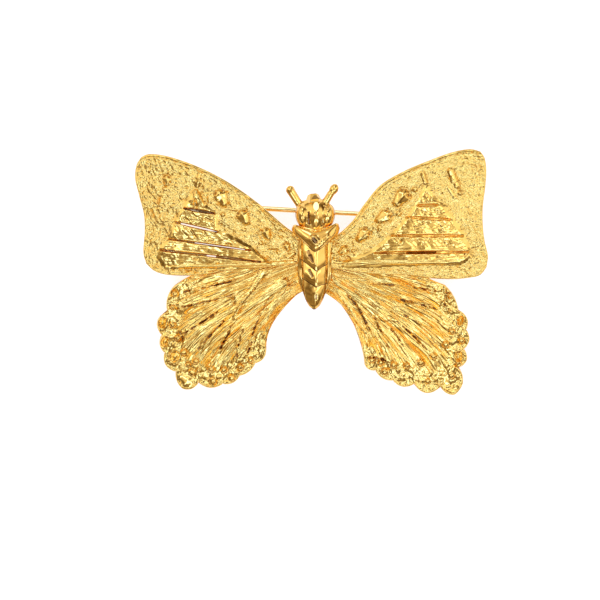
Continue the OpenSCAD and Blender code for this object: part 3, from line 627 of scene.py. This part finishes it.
# Rows of dark dashes between the lines, each through its places
DASHES_L = [
    [(22.7, -3.4), (16.3, -2), (13.7, -1.4)], [(24.1, -6.4), (18.7, -5.2), (14.7, -4.2)],
    [(23.1, -11), (19.3, -8.6), (17.1, -7.2)], [(20.5, -13.8), (17.5, -10.4), (15.9, -8.8)],
    [(16.5, -13.6), (15.1, -11.2), (14.4, -9.5)], [(13.3, -13.2), (12.5, -10.8), (12.2, -9.6)],
    [(10.7, -11), (9.5, -8), (8.3, -5.6), (7.7, -4.6)], [(11.5, -14.4), (10.7, -12.2)],
    [(13.5, -15.2), (13.3, -13.9)], [(23.7, -10.6), (23, -12.6)]]
DASHES_R = [
    [(10.9, -2), (12.9, -2.1), (14.9, -2.3)], [(18.4, -2.7), (22.2, -3.3)],
    [(16.2, -4.9), (19.8, -5.8), (22.2, -6.5)],
    [(6.5, -4), (7.6, -5.3), (8.6, -6.6), (9.6, -8.7), (10.7, -10.6)],
    [(11.3, -8), (12, -9.6), (12.7, -11)], [(14.4, -10.3), (15.6, -11.7), (16.7, -13.6)],
    [(15.4, -8.8), (17.3, -10.4), (18.7, -11.7), (20.7, -13.9)], [(13.9, -13.4), (13.6, -12.9)],
    [(10.3, -15.2), (13.2, -15.7)], [(24.2, -3.3), (23.9, -5.8), (25, -6.9)],
    [(16.7, -7.6), (17.4, -8.1)], [(15.5, -5.6), (15.3, -6.9)]]
# Pearls: place, radius and height, which PEARL_GROWTH enlarges, and the moat round each
PEARL_GROWTH = (1.15, 1.1)
MOAT_GROWTH, PEARL_MOAT = 1.7, -0.22
PEARLS_L = [
    (25.1, -9.4, 0.5, 0.45), (24.2, -11.8, 0.5, 0.45), (23, -14.4, 0.5, 0.45),
    (20.9, -16, 0.5, 0.4), (18.2, -17.4, 0.55, 0.45), (15.8, -17.6, 0.5, 0.45),
    (12.8, -17.1, 0.5, 0.45), (11, -15.8, 0.45, 0.4), (24.6, -3.8, 0.5, 0.4), (25, -6.2, 0.4, 0.35),
    (14.5, -19, 0.5, 0.3), (17.9, -19.6, 0.6, 0.35), (21.6, -18, 0.55, 0.3),
    (20.5, -17.6, 0.35, 0.25), (22.3, -16.6, 0.4, 0.3)]
PEARLS_R = [
    (10.9, -15.8, 0.45, 0.4), (12.5, -16.2, 0.45, 0.4), (14.8, -16.7, 0.5, 0.45),
    (17.2, -16.8, 0.5, 0.45), (19.7, -16.3, 0.55, 0.45), (22, -15.1, 0.55, 0.45),
    (24.2, -13, 0.55, 0.45), (25.3, -10.6, 0.45, 0.35), (27.1, -12.3, 0.45, 0.35),
    (26.6, -16.5, 0.5, 0.4), (21, -19.6, 0.45, 0.35), (13.2, -17.9, 0.55, 0.35),
    (24.5, -3.3, 0.4, 0.3), (25, -4.2, 0.4, 0.3), (25.3, -18.6, 0.55, 0.4)]
# Ovals with a hollow round a low dome: place, half width, half length and lean in degrees
OVALS_L = [(26.9, -9, 0.75, 1.15, 5), (26.5, -12.4, 0.7, 1.1, 20), (24.7, -15.1, 0.95, 1.3, 30)]
OVALS_R = [(26.5, -15.1, 0.75, 1.1, -10), (26.8, -8.6, 0.6, 1, -15)]
# Veins and lobes, as the forewings' ridges and pits
VEINS_L = [
    (8.6, 0.2, 13.9, -7.8, 0.9, 0.25, 0.36), (5.2, -1.7, 13.6, -8.1, 1.1, 0.35, 0.36),
    (13.9, -8.2, 11.9, -7.3, 0.4, 0.2, 0.25), (5.2, -3.4, 8.9, -9, 0.5, 0.6, 0.2),
    (8.9, -9, 10.2, -13, 0.6, 0.3, 0.15), (22.4, -19.9, 23.5, -18.9, 1, 0.7, 0.3),
    (14.2, -3.9, 14.1, -5.9, 0.35, 0.2, -0.35), (8, -0.3, 12.6, -5.9, 0.2, 0.25, -0.3),
    (12.4, -6.1, 13.2, -7.3, 0.3, 0.2, -0.2), (3.2, -1.9, 3.9, -2.2, 0.4, 0.3, -0.35),
    (4.3, -0.9, 5, -1.2, 0.25, 0.2, -0.25)]
VEINS_R = [
    (3.6, -0.8, 12.9, -7.9, 0.6, 0.95, 0.3), (12.9, -7.9, 15.1, -8.6, 0.9, 0.3, 0.25),
    (4.2, -1, 10.4, -1.4, 0.3, 0.25, 0.15), (4.7, -3.1, 9.6, -10.6, 0.4, 0.35, 0.2),
    (24.4, -19.8, 25.6, -17.2, 0.9, 0.6, 0.25), (5, -1.6, 8.2, -3.6, 0.2, 0.2, -0.25),
    (7, -2.6, 11.4, -6.2, 0.15, 0.2, -0.2)]


def scalloped(rows, t):
    """Places on the margin, an arch from each notch to the next."""
    p = np.array(rows) * (HALF_W, HALF_H, 1)
    i, f = row_at(p, t)
    a, b = p[i][..., :2], p[i + 1][..., :2]
    side = np.stack([b[..., 1] - a[..., 1], a[..., 0] - b[..., 0]], -1)
    return mix(a, b, f) + side * p[i][..., 2:] * np.sin(np.pi * f) ** 0.75


def sweep(up):
    """How far down the wing its droop has come, for heights in shares."""
    return np.clip((0.16 - up) / 1.06, 0, 1) ** 1.5


def hind_back(x, y, tip):
    """Height of the back, which lies under the forewings and falls to the table at the tip."""
    fall = fore_back(tip[0] * HALF_W) - LAP_GAP - HIND_T
    droop = fall * sweep(y / HALF_H) / sweep(tip[1])
    return np.maximum(0, fore_back(x) - LAP_GAP - HIND_T - droop)


def dash_marks(rows, rng):
    """Short pits of uneven length along each row, with gaps between them."""
    marks = []
    for row in rows:
        for (ax, ay), (bx, by) in zip(row[:-1], row[1:]):
            length = np.hypot(bx - ax, by - ay)
            at = 0
            while at < length:
                end = min(at + rng.uniform(*DASH_LENGTH), length)
                a, b = mix(np.array([ax, ay]), np.array([bx, by]), np.array([[at], [end]]) / length)
                half = rng.uniform(*DASH_HALF, 2)
                marks.append((*a, *b, *half, rng.uniform(*DASH_H)))
                at = end + rng.uniform(*DASH_GAP)
    return marks


def pearl_heights(x, y, pearls):
    """Heights of the pearls, which are round domes."""
    heights = np.zeros(x.shape)
    wider, higher = PEARL_GROWTH
    for at_x, at_y, r, h in pearls:
        off = np.hypot(x - at_x, y - at_y) / (wider * r)
        heights = np.maximum(heights, higher * h * np.sqrt(np.clip(1 - off ** 2, 0, 1)))
    return heights


def oval_heights(x, y, ovals):
    """Heights of the ovals, each with a rim, a hollow and a low dome."""
    heights = np.zeros(x.shape)
    for at_x, at_y, half, long, lean in ovals:
        across, length = turned(x - at_x, y - at_y, lean)
        off = np.hypot(across / half, length / long)
        for height, at, width in ((0.25, 1, 0.22), (-0.28, 0.62, 0.2), (0.2, 0, 0.35)):
            heights += height * np.exp(-((off - at) / width) ** 2)
    return heights


def hindwing(name, outward, low, high, scallops, dashes, pearls, ovals, veins, seed):
    columns, rows = HIND_CELLS
    u = np.linspace(0, 1, columns + 1)
    u += CLOSER * u * (1 - u)
    u, v = np.meshgrid(u, np.linspace(0, 1, rows + 1), indexing="ij")

    def rim(t):
        return scalloped(scallops, t)

    flat = patch(low, high, rim, u, v)
    x, y = flat[..., 0], flat[..., 1]
    t = np.linspace(0, 1, 40)
    margin_off = off_line(x, y, rim(np.linspace(0, 1, 12 * (len(scallops) - 1) + 1)))
    edge_off = np.minimum.reduce([
        margin_off, off_line(x, y, edge(low, t)), off_line(x, y, edge(high, t))])

    domes = pearl_heights(x, y, pearls)
    moats = [(at_x, at_y, MOAT_GROWTH * r, PEARL_MOAT) for at_x, at_y, r, _ in pearls]
    wander = DASH_WANDER * grain(x, y, 0.5, seed + 1)
    up, down = relief(x, y, moats + veins)
    up, down = np.maximum(up, domes), down * (domes == 0)
    pits = dash_marks(dashes, np.random.default_rng(seed))
    lips = [(*ends, a + LIP_W, b + LIP_W, LIP_H) for *ends, a, b, _ in pits]
    lips, holes = relief(x + wander, y - wander, pits + lips)
    border = smooth((BORDER_W - margin_off) / BORDER_FADE)
    swells = SWELL_H * grain(x, y, SWELL_W, seed + 8)
    folds = 1 - 2 * np.abs(grain(FOLDS[0] * v, FOLDS[1] * u, 0.75, seed))
    lines = grain(LINES[0] * v, LINES[1] * u, 0.75, seed + 4)
    flutes = np.abs(np.sin(np.pi * v * (len(scallops) - 1))) * smooth((u - 0.2) / 0.4)
    crumbs = grain(x, y, CRUMB_W, seed + 2)
    sand = grain(x, y, 0.3, seed + 6)
    veined = np.clip(up / MOPPED_H, 0, 1)
    striped = np.clip(u * 1.8, 0.35, 1) * (1 - border) * (1 - 0.6 * veined)
    height = (striped * (FOLD_H * (folds - 0.6) + LINE_H * lines) + FLUTE_H * flutes
              + border * (CRUMB_H * crumbs + 0.05 * sand) * (1 - veined)
              + up + down + lips + holes + swells + oval_heights(x, y, ovals) + 0.04 * sand
              + MARGIN_H * np.exp(-((margin_off - 0.25) / 0.2) ** 2))
    # Painted shade: dark brown in the dashes, moats and pits, faint in other low places, and the
    # pearls painted warm all over, a painted reflection.
    painted_shade = np.clip((blurred(height, 5) - height - 0.03) / 0.3, 0, 1)
    painted_shade = np.maximum.reduce([
        0.16 * painted_shade, np.clip(-holes / 0.36, 0, 0.85), np.clip(-down / 0.4, 0, 0.5),
        0.3 * (domes > 0)])
    back = hind_back(x, y, scallops[TIP])
    tops = np.dstack([x, y, back + HIND_T + height - rounded(edge_off, HIND_EDGE_R)])
    layers = {"painted_shade": painted_shade, "polish": 0.85 + 0.15 * veined}
    piece = cast_sheet(name, HIND_CELLS, outward, None, tops, np.dstack([x, y, back]), layers)
    piece.data.materials.append(cast_gold)
    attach(piece, "brooch")
    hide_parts("hindwings")
    return piece


hindwing("hindwing_left", LEFT, HIND_INNER_L, HIND_LEAD_L, SCALLOPS_L, DASHES_L, PEARLS_L,
         OVALS_L, VEINS_L, 21)
hindwing("hindwing_right", RIGHT, HIND_INNER_R, HIND_LEAD_R, SCALLOPS_R, DASHES_R, PEARLS_R,
         OVALS_R, VEINS_R, 53)


# Body: one polished casting in gold-plated brass, with a head, a yoke, three keeled plates
# that overlap down to the tail, and a flange round them. A mop has rounded every edge.
SEAT_Z = 7.4
BODY_H = 3
BODY_MIDDLE = 0.5
SKIN = 0.07
MOP_PASSES = 30
PLATE_LUMP_H = 0.24
HEAD_LUMP_H = 0.03
PLATE_CELLS = (72, 48)
# Edges of the plates, from side to side: how far out as a share, and how far up the brooch
YOKE_TOP = [(-1, 7.85), (-0.95, 8.4), (-0.85, 8.6), (-0.4, 8), (0, 7.6), (0.4, 8),
            (0.85, 8.85), (0.95, 8.7), (1, 8)]
YOKE_FOOT = [(-1, 7.75), (-0.96, 7.25), (-0.7, 6.2), (-0.3, 4.5), (-0.14, 3.85), (-0.02, 3.72),
             (0.14, 3.95), (0.5, 5.2), (0.86, 6.55), (0.96, 7.1), (1, 7.9)]
FIRST_FOOT = [(-1, 2.3), (-0.5, 1.35), (0.05, 0.25), (0.18, 0.3), (0.55, 0.9), (1, 1.5)]
SECOND_FOOT = [(-1, -1), (-0.5, -1.8), (0.05, -2.65), (0.2, -2.65), (0.6, -2.25), (1, -2)]
# Sections: how far out, and the height there, as shares
YOKE_SECTION = [(-1, 0.25), (-0.9, 0.58), (-0.6, 0.8), (-0.3, 0.93), (0, 0.99), (0.15, 1),
                (0.4, 0.96), (0.65, 0.84), (0.9, 0.6), (1, 0.25)]
KEEL_SECTION = [(-1, 0.2), (-0.95, 0.5), (-0.8, 0.64), (-0.5, 0.76), (-0.15, 0.88), (0.05, 0.97),
                (0.14, 1), (0.24, 0.97), (0.5, 0.87), (0.75, 0.74), (0.92, 0.56), (1, 0.2)]
FLANGE_SECTION = [(-1, 0.1), (-0.96, 0.6), (-0.85, 0.95), (0.85, 0.95), (0.96, 0.6), (1, 0.1)]
# Hollows and facets that the polisher left, as the forewings' ridges and pits
BODY_MARKS = [
    (0.3, 5.95, 0.7, 5.5, 0.85, 0.85, 0.24), (0.3, 5.95, 0.7, 5.5, 0.42, 0.42, -0.25),
    (2.2, 5.8, 2.8, 6.3, 0.6, 0.5, 0.2), (-0.6, 3.7, -0.3, 2.6, 0.4, 0.55, -0.08),
    (-0.3, 2.9, 0.15, 1.9, 0.5, 0.25, -0.12), (-0.4, 0.4, 0.1, -0.7, 0.3, 0.3, -0.09),
    (0.8, -4.1, 0.8, -4.6, 0.28, 0.28, -0.1)]
HEAD_MARKS = [
    (-0.55, 10.7, -0.52, 8.8, 0.2, 0.3, -0.3), (2.1, 10.2, 2, 8.9, 0.2, 0.3, -0.1),
    (2.07, 8.7, 2.1, 8.5, 0.18, 0.18, -0.22), (0.5, 10.65, 0.55, 10.6, 0.14, 0.14, -0.12),
    (2.2, 11.9, 2.9, 11.2, 0.12, 0.12, -0.1), (2.6, 12.1, 3.3, 11.4, 0.12, 0.12, -0.1),
    (-1.6, 9.9, -1.6, 9.85, 0.1, 0.1, -0.08)]


def body_plate(middle, half, crown, upper, lower, section, taper, rise):
    """A closed plate between its upper edge and its foot. Taper and rise are its width and
    its height on the way down, as shares."""
    columns, rows = PLATE_CELLS
    a, b = np.meshgrid(np.linspace(-1, 1, columns + 1), np.linspace(1, 0, rows + 1), indexing="ij")
    x = middle + a * half * np.interp(b, np.linspace(0, 1, len(taper)), taper)
    y = mix(np.interp(a, *np.transpose(upper)), np.interp(a, *np.transpose(lower)), b)
    form = np.interp(a, *np.transpose(section)) * np.interp(b, np.linspace(0, 1, len(rise)), rise)
    up, down = relief(x, y, BODY_MARKS)
    lumps = PLATE_LUMP_H * grain(x, y, 2.1, crown)
    marked = (up + down + lumps) * smooth((form - 0.4) / 0.2)
    z = SEAT_Z + crown * blurred(blurred(form, 2), 3) + marked
    # Painted shade: dark brown in the hollows, a dark line along each plate's foot where it laps
    # over the next, and darker down its low sides.
    foot = 0.95 * smooth((b - 0.955) / 0.02)
    sides = 0.45 * smooth((0.45 - form) / 0.2)
    layers = {"painted_shade": np.maximum.reduce([np.clip(-down / 0.09, 0, 0.9), foot, sides])}
    seat = np.dstack([x, y, np.full_like(z, SEAT_Z + 0.05 * crown)])
    return cast_sheet("plate", PLATE_CELLS, RIGHT, None, np.dstack([x, y, z]), seat, layers)


def ball(place, size, lean=0):
    """A ball of three radii in mm, leaning about the upright axis."""
    deselect()
    bpy.ops.mesh.primitive_uv_sphere_add(segments=48, ring_count=24, radius=MM)
    piece = bpy.context.object
    piece.scale = size
    piece.rotation_euler = (0, 0, np.radians(lean))
    piece.location = Vector(place) * MM
    bpy.ops.object.transform_apply()
    return piece


def rod(start, end, r_start, r_end, sides=32, turn=0):
    """A tapered rod between two places, in mm, turned about its line by degrees."""
    deselect()
    way = Vector(end) - Vector(start)
    bpy.ops.mesh.primitive_cone_add(vertices=sides, radius1=r_start * MM, radius2=r_end * MM,
                                    depth=way.length * MM)
    piece = bpy.context.object
    piece.location = (Vector(start) + Vector(end)) / 2 * MM
    spin = Quaternion((0, 0, 1), np.radians(turn))
    piece.rotation_euler = (way.to_track_quat("Z", "Y") @ spin).to_euler()
    bpy.ops.object.transform_apply()
    return piece


def join(pieces, name):
    deselect()
    for piece in pieces:
        piece.select_set(True)
    bpy.context.view_layer.objects.active = pieces[0]
    bpy.ops.object.join()
    pieces[0].name = pieces[0].data.name = name
    return pieces[0]


HEAD_Z = SEAT_Z + 0.3
# The forehead's worn flat catches the light. It has a middle and a half width across, and a
# place up the brooch where it is at FLAT_Z, from where it falls towards the snout.
FLAT_X, FLAT_HALF = 0.6, 1.2
FLAT_Y, FLAT_Z, FLAT_FALL = 11.95, HEAD_Z + 2.05, np.tan(np.radians(27))
head = join([
    ball((0.6, 10.3, HEAD_Z), (3.5, 3.1, 2.3)),
    ball((0.6, 9.9, HEAD_Z), (3.25, 3.3, 2.2)),
    ball((-1.65, 10.3, HEAD_Z + 0.3), (1.35, 2.2, 2.2), 7),
    ball((2.8, 10.2, HEAD_Z + 0.3), (1.4, 2.2, 2.05), -7),
    ball((0.78, 10.2, HEAD_Z + 0.3), (1.7, 3.1, 2.3)),
    rod((-1.7, 11.4, SEAT_Z + 0.8), (-3.75, 14.6, SEAT_Z + 1.1), 0.7, 0.78),
    ball((-3.83, 14.75, SEAT_Z + 1.1), (0.82, 0.84, 0.76)),
    rod((-2.3, 12.2, SEAT_Z + 0.7), (-0.8, 12.6, SEAT_Z + 0.7), 0.45, 0.45),
    rod((2.1, 12, SEAT_Z + 0.8), (3.5, 14.3, SEAT_Z + 1.1), 0.7, 0.66),
    ball((3.95, 14.9, SEAT_Z + 1.1), (0.82, 1.05, 0.72), -30)], "head")
modify(head, "REMESH", mode="VOXEL", voxel_size=SKIN * MM)
modify(head, "SMOOTH", iterations=MOP_PASSES)
places = read(head.data.vertices, "co", 3) / MM
upright = read(head.data.vertices, "normal", 3)[:, 2]
faces_up = smooth((upright - 0.2) / 0.4)
down = relief(places[:, 0], places[:, 1], HEAD_MARKS)[1]
lumps = HEAD_LUMP_H * grain(places[:, 0], places[:, 1], 1.4, 3)
worn = FLAT_Z - FLAT_FALL * (places[:, 1] - FLAT_Y)
worn = np.where(np.abs(places[:, 0] - FLAT_X) < FLAT_HALF, worn, np.inf)
places[:, 2] = np.maximum(np.minimum(places[:, 2] + (down + lumps) * faces_up, worn), SEAT_Z)
head.data.vertices.foreach_set("co", (places * MM).ravel())
# Painted shade: the head is painted darker down its steep sides, and brown in its dents.
sides = 0.65 * smooth((0.55 - upright) / 0.35)
write(head, "painted_shade", np.maximum(np.clip(-down / 0.3, 0, 1) * faces_up, sides))
bpy.ops.object.shade_smooth()

# The snout's foot is kept off the level of the head's, so that the two don't coincide.
SNOUT_LIFT = 0.02
snout = rod((0.42, 12.2, HEAD_Z + 0.3), (0.26, 13.95, HEAD_Z - 0.1), 1.75, 1.0, 6, 34)
for corner in snout.data.vertices:
    corner.co.z = max(corner.co.z, (SEAT_Z + SNOUT_LIFT) * MM)
beak = rod((0.64, 12.95, HEAD_Z + 1.2), (0.5, 13.92, HEAD_Z + 0.85), 0.95, 0.02, 3, 62)
# The beak is painted part of the way to brown all over: a painted reflection of the dim tent in its
# steep facets.
write(beak, "painted_shade", np.full(len(beak.data.vertices), 0.45))
body = join([
    body_plate(0.7, 4.3, BODY_H, YOKE_TOP, YOKE_FOOT, YOKE_SECTION, (1, 1),
               (0.68, 0.84, 0.93, 0.98, 1, 1, 1, 0.99, 0.96, 0.82)),
    body_plate(BODY_MIDDLE, 2.42, 2.72, [(-1, 6), (1, 6)], FIRST_FOOT, KEEL_SECTION, (1, 1),
               (0.72, 0.78, 0.84, 0.9, 0.95, 0.98, 1, 0.99, 0.9)),
    body_plate(BODY_MIDDLE, 2.38, 2.38, [(-1, 3), (1, 3)], SECOND_FOOT, KEEL_SECTION, (1, 1, 0.97),
               (0.7, 0.76, 0.82, 0.88, 0.94, 0.98, 1, 0.99, 0.9)),
    body_plate(0.45, 2.2, 1.95, [(-1, -0.6), (1, -0.6)], [(-1, -6.6), (1, -6.6)], KEEL_SECTION,
               (1, 1, 1, 0.98, 0.95, 0.9, 0.82, 0.72, 0.59, 0.43, 0.12),
               (0.8, 0.9, 0.97, 1, 1, 0.97, 0.91, 0.82, 0.66, 0.35)),
    body_plate(BODY_MIDDLE, 3.02, 0.7, [(-1, 6), (1, 6)], [(-1, -5), (1, -5)], FLANGE_SECTION,
               (0.9, 0.97, 1, 1, 1, 1, 0.98, 0.92, 0.8, 0.62, 0.4), (1, 1, 1, 1, 1, 1, 1, 0.9)),
    head, snout, beak], "body_casting")

# Polished plate: a soft mirror under clear lacquer, a little warmer in places where the gold
# has worn thin, and brown where shade is painted: in the hollows, down the sides, along the
# plates' feet and on the beak.
polished_gold, tree = new_material("gold_plate_polished")
place = add_node(tree, "TexCoord", {}).outputs["Object"]
patches = add_node(tree, "TexNoise", {"Vector": place, "Scale": 1 / (1.6 * MM), "Detail": 2})
tint = blend(tree, patches, linear("#F6C460"), linear("#F0B44C"))
painted_shade = add_node(tree, "Attribute", {}, attribute_name="painted_shade").outputs["Fac"]
dark = blend(tree, painted_shade, tint, linear("#7A4A14"))
metal = add_node(tree, "BsdfPrincipled", {
    "Base Color": dark, "Metallic": 1, "Roughness": 0.13, "Coat Weight": 0.6,
    "Coat Roughness": 0.1})
add_node(tree, "OutputMaterial", {"Surface": metal})
body.data.materials.append(polished_gold)
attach(body, "brooch")
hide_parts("body")


# Backs: a web joins each pair of wings under the body, and two bosses with headed studs on
# the forewings carry the pin's brackets. All are cast on, and only their edges are dressed.
PIN_TURN = np.radians(-3.2)
HINGE = Vector((-15.3, 12, 0))
PIN_REACH = 30.5
BOSS = (5.25, 3.8)
BOSS_OUT = 1.03
PAD_Z = 6
STUD_OUT = 2.3
STUD_HEAD_Z = 4.85
WEB_X, WEB_W = 0.7, 4.4
WEB_TOP_Y, WEB_FOOT_Y, HIND_WEB_FOOT_Y = 5.7, 0.95, -3.1
# How far a web's faces lie within the wings', and a stud's shank within its head
INSET = 0.1
BLOCK_EDGE, BLOCK_SHARP = 0.18, np.radians(40)
STUD_HEAD_T, STUD_HEAD_OVER, STUD_HEAD_EDGE = 0.35, 0.4, 0.12
STUD_R, PEG_R = 0.55, 0.7
PEG_YS = (4.66, 2)
PEG_HEAD_Z = 4.5


def bevelled(piece, width):
    """The piece with its edges rounded over, to a width in mm."""
    modify(piece, "BEVEL", width=width * MM, segments=3, limit_method="ANGLE")
    bpy.ops.object.shade_smooth_by_angle(angle=BLOCK_SHARP)
    return piece


def block(low, high, turn=0, turn_about=(0, 0, 0)):
    """A block between two corners in mm, turned about an upright line."""
    deselect()
    low, high = Vector(low), Vector(high)
    bpy.ops.mesh.primitive_cube_add(size=1)
    piece = bpy.context.object
    piece.scale = (high - low) * MM
    piece.location = (low + high) / 2 * MM
    bpy.ops.object.transform_apply()
    bpy.ops.transform.rotate(value=-turn, orient_axis="Z", center_override=Vector(turn_about) * MM)
    bpy.ops.object.transform_apply()
    return bevelled(piece, BLOCK_EDGE)


def headed_stud(x, y, r, z_head, z_top):
    """An upright stud whose lower end is spread into a rounded head."""
    shank = rod((x, y, z_head + INSET), (x, y, z_top), r, r)
    wide = r + STUD_HEAD_OVER
    head = rod((x, y, z_head), (x, y, z_head + STUD_HEAD_T), wide, wide)
    return [shank, bevelled(head, STUD_HEAD_EDGE)]


def pin_line(reach):
    """A place over the pin's axis, that far from the hinge."""
    return HINGE + Vector((reach * np.cos(PIN_TURN), reach * np.sin(PIN_TURN), 0))


backs = [block((WEB_X - WEB_W / 2, WEB_FOOT_Y, FORE_Z + INSET),
               (WEB_X + WEB_W / 2, WEB_TOP_Y, FORE_Z + FORE_T - INSET))]
for reach, way in ((0, 1), (PIN_REACH, -1)):
    foot = pin_line(reach)
    middle = foot + Vector((way * BOSS_OUT, 0, 0))
    under = fore_back(abs(middle.x)) + FORE_T / 2
    backs.append(block(
        (middle.x - BOSS[0] / 2, middle.y - BOSS[1] / 2, PAD_Z),
        (middle.x + BOSS[0] / 2, middle.y + BOSS[1] / 2, under), PIN_TURN, foot))
    stud = pin_line(reach + way * STUD_OUT)
    backs += headed_stud(stud.x, stud.y, STUD_R, STUD_HEAD_Z, PAD_Z + 0.3)
backs = join(backs, "forewing_bosses")
backs.data.materials.append(cast_gold)
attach(backs, "brooch")
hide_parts("forewings")

hind_web = block((WEB_X - WEB_W / 2, HIND_WEB_FOOT_Y, FORE_Z - LAP_GAP - HIND_T + INSET),
                 (WEB_X + WEB_W / 2, WEB_TOP_Y, FORE_Z - LAP_GAP - INSET))
hind_web.name = hind_web.data.name = "hindwing_web"
hind_web.data.materials.append(cast_gold)
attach(hind_web, "brooch")
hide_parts("hindwings")

pegs = []
for y in PEG_YS:
    pegs += headed_stud(WEB_X, y, PEG_R, PEG_HEAD_Z, SEAT_Z + 0.5)
pegs = join(pegs, "body_pegs")
pegs.data.materials.append(polished_gold)
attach(pegs, "brooch")
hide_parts("body")


# Pin and its findings: a stamped brass hinge and catch, a brass rivet, and a drawn steel
# wire that is plated with the rest. They are small trade parts, so they are even and plain.
findings_gold, tree = new_material("gold_plate_on_stamped_brass")
place = add_node(tree, "TexCoord", {}).outputs["Object"]
rub = add_node(tree, "TexNoise", {"Vector": place, "Scale": 1 / (0.6 * MM), "Detail": 4})
wear = add_node(tree, "MapRange", {"Value": rub, "To Min": 0.16, "To Max": 0.32})
tint = blend(tree, rub, linear("#F3CC78"), linear("#E0AA4C"))
metal = add_node(tree, "BsdfPrincipled", {"Base Color": tint, "Metallic": 1, "Roughness": wear})
add_node(tree, "OutputMaterial", {"Surface": metal})

wire_gold, tree = new_material("gold_plate_on_drawn_wire")
place = add_node(tree, "TexCoord", {}).outputs["Object"]
along_wire = add_node(tree, "Mapping", {
    "Vector": place, "Rotation": (0, 0, -PIN_TURN), "Scale": (0.05, 1, 1)})
draw_lines = add_node(tree, "TexNoise", {
    "Vector": along_wire, "Scale": 1 / (0.08 * MM), "Detail": 2})
bump = add_node(tree, "Bump", {"Height": draw_lines, "Strength": 0.1, "Distance": 0.02 * MM})
metal = add_node(tree, "BsdfPrincipled", {
    "Base Color": linear("#F4CC80"), "Metallic": 1, "Roughness": 0.08, "Normal": bump})
add_node(tree, "OutputMaterial", {"Surface": metal})

for name in ("hinge", "hinge_rivet", "catch", "pin_stem"):
    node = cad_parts[name]
    node.data.materials.clear()
    node.data.materials.append(wire_gold if name == "pin_stem" else findings_gold)
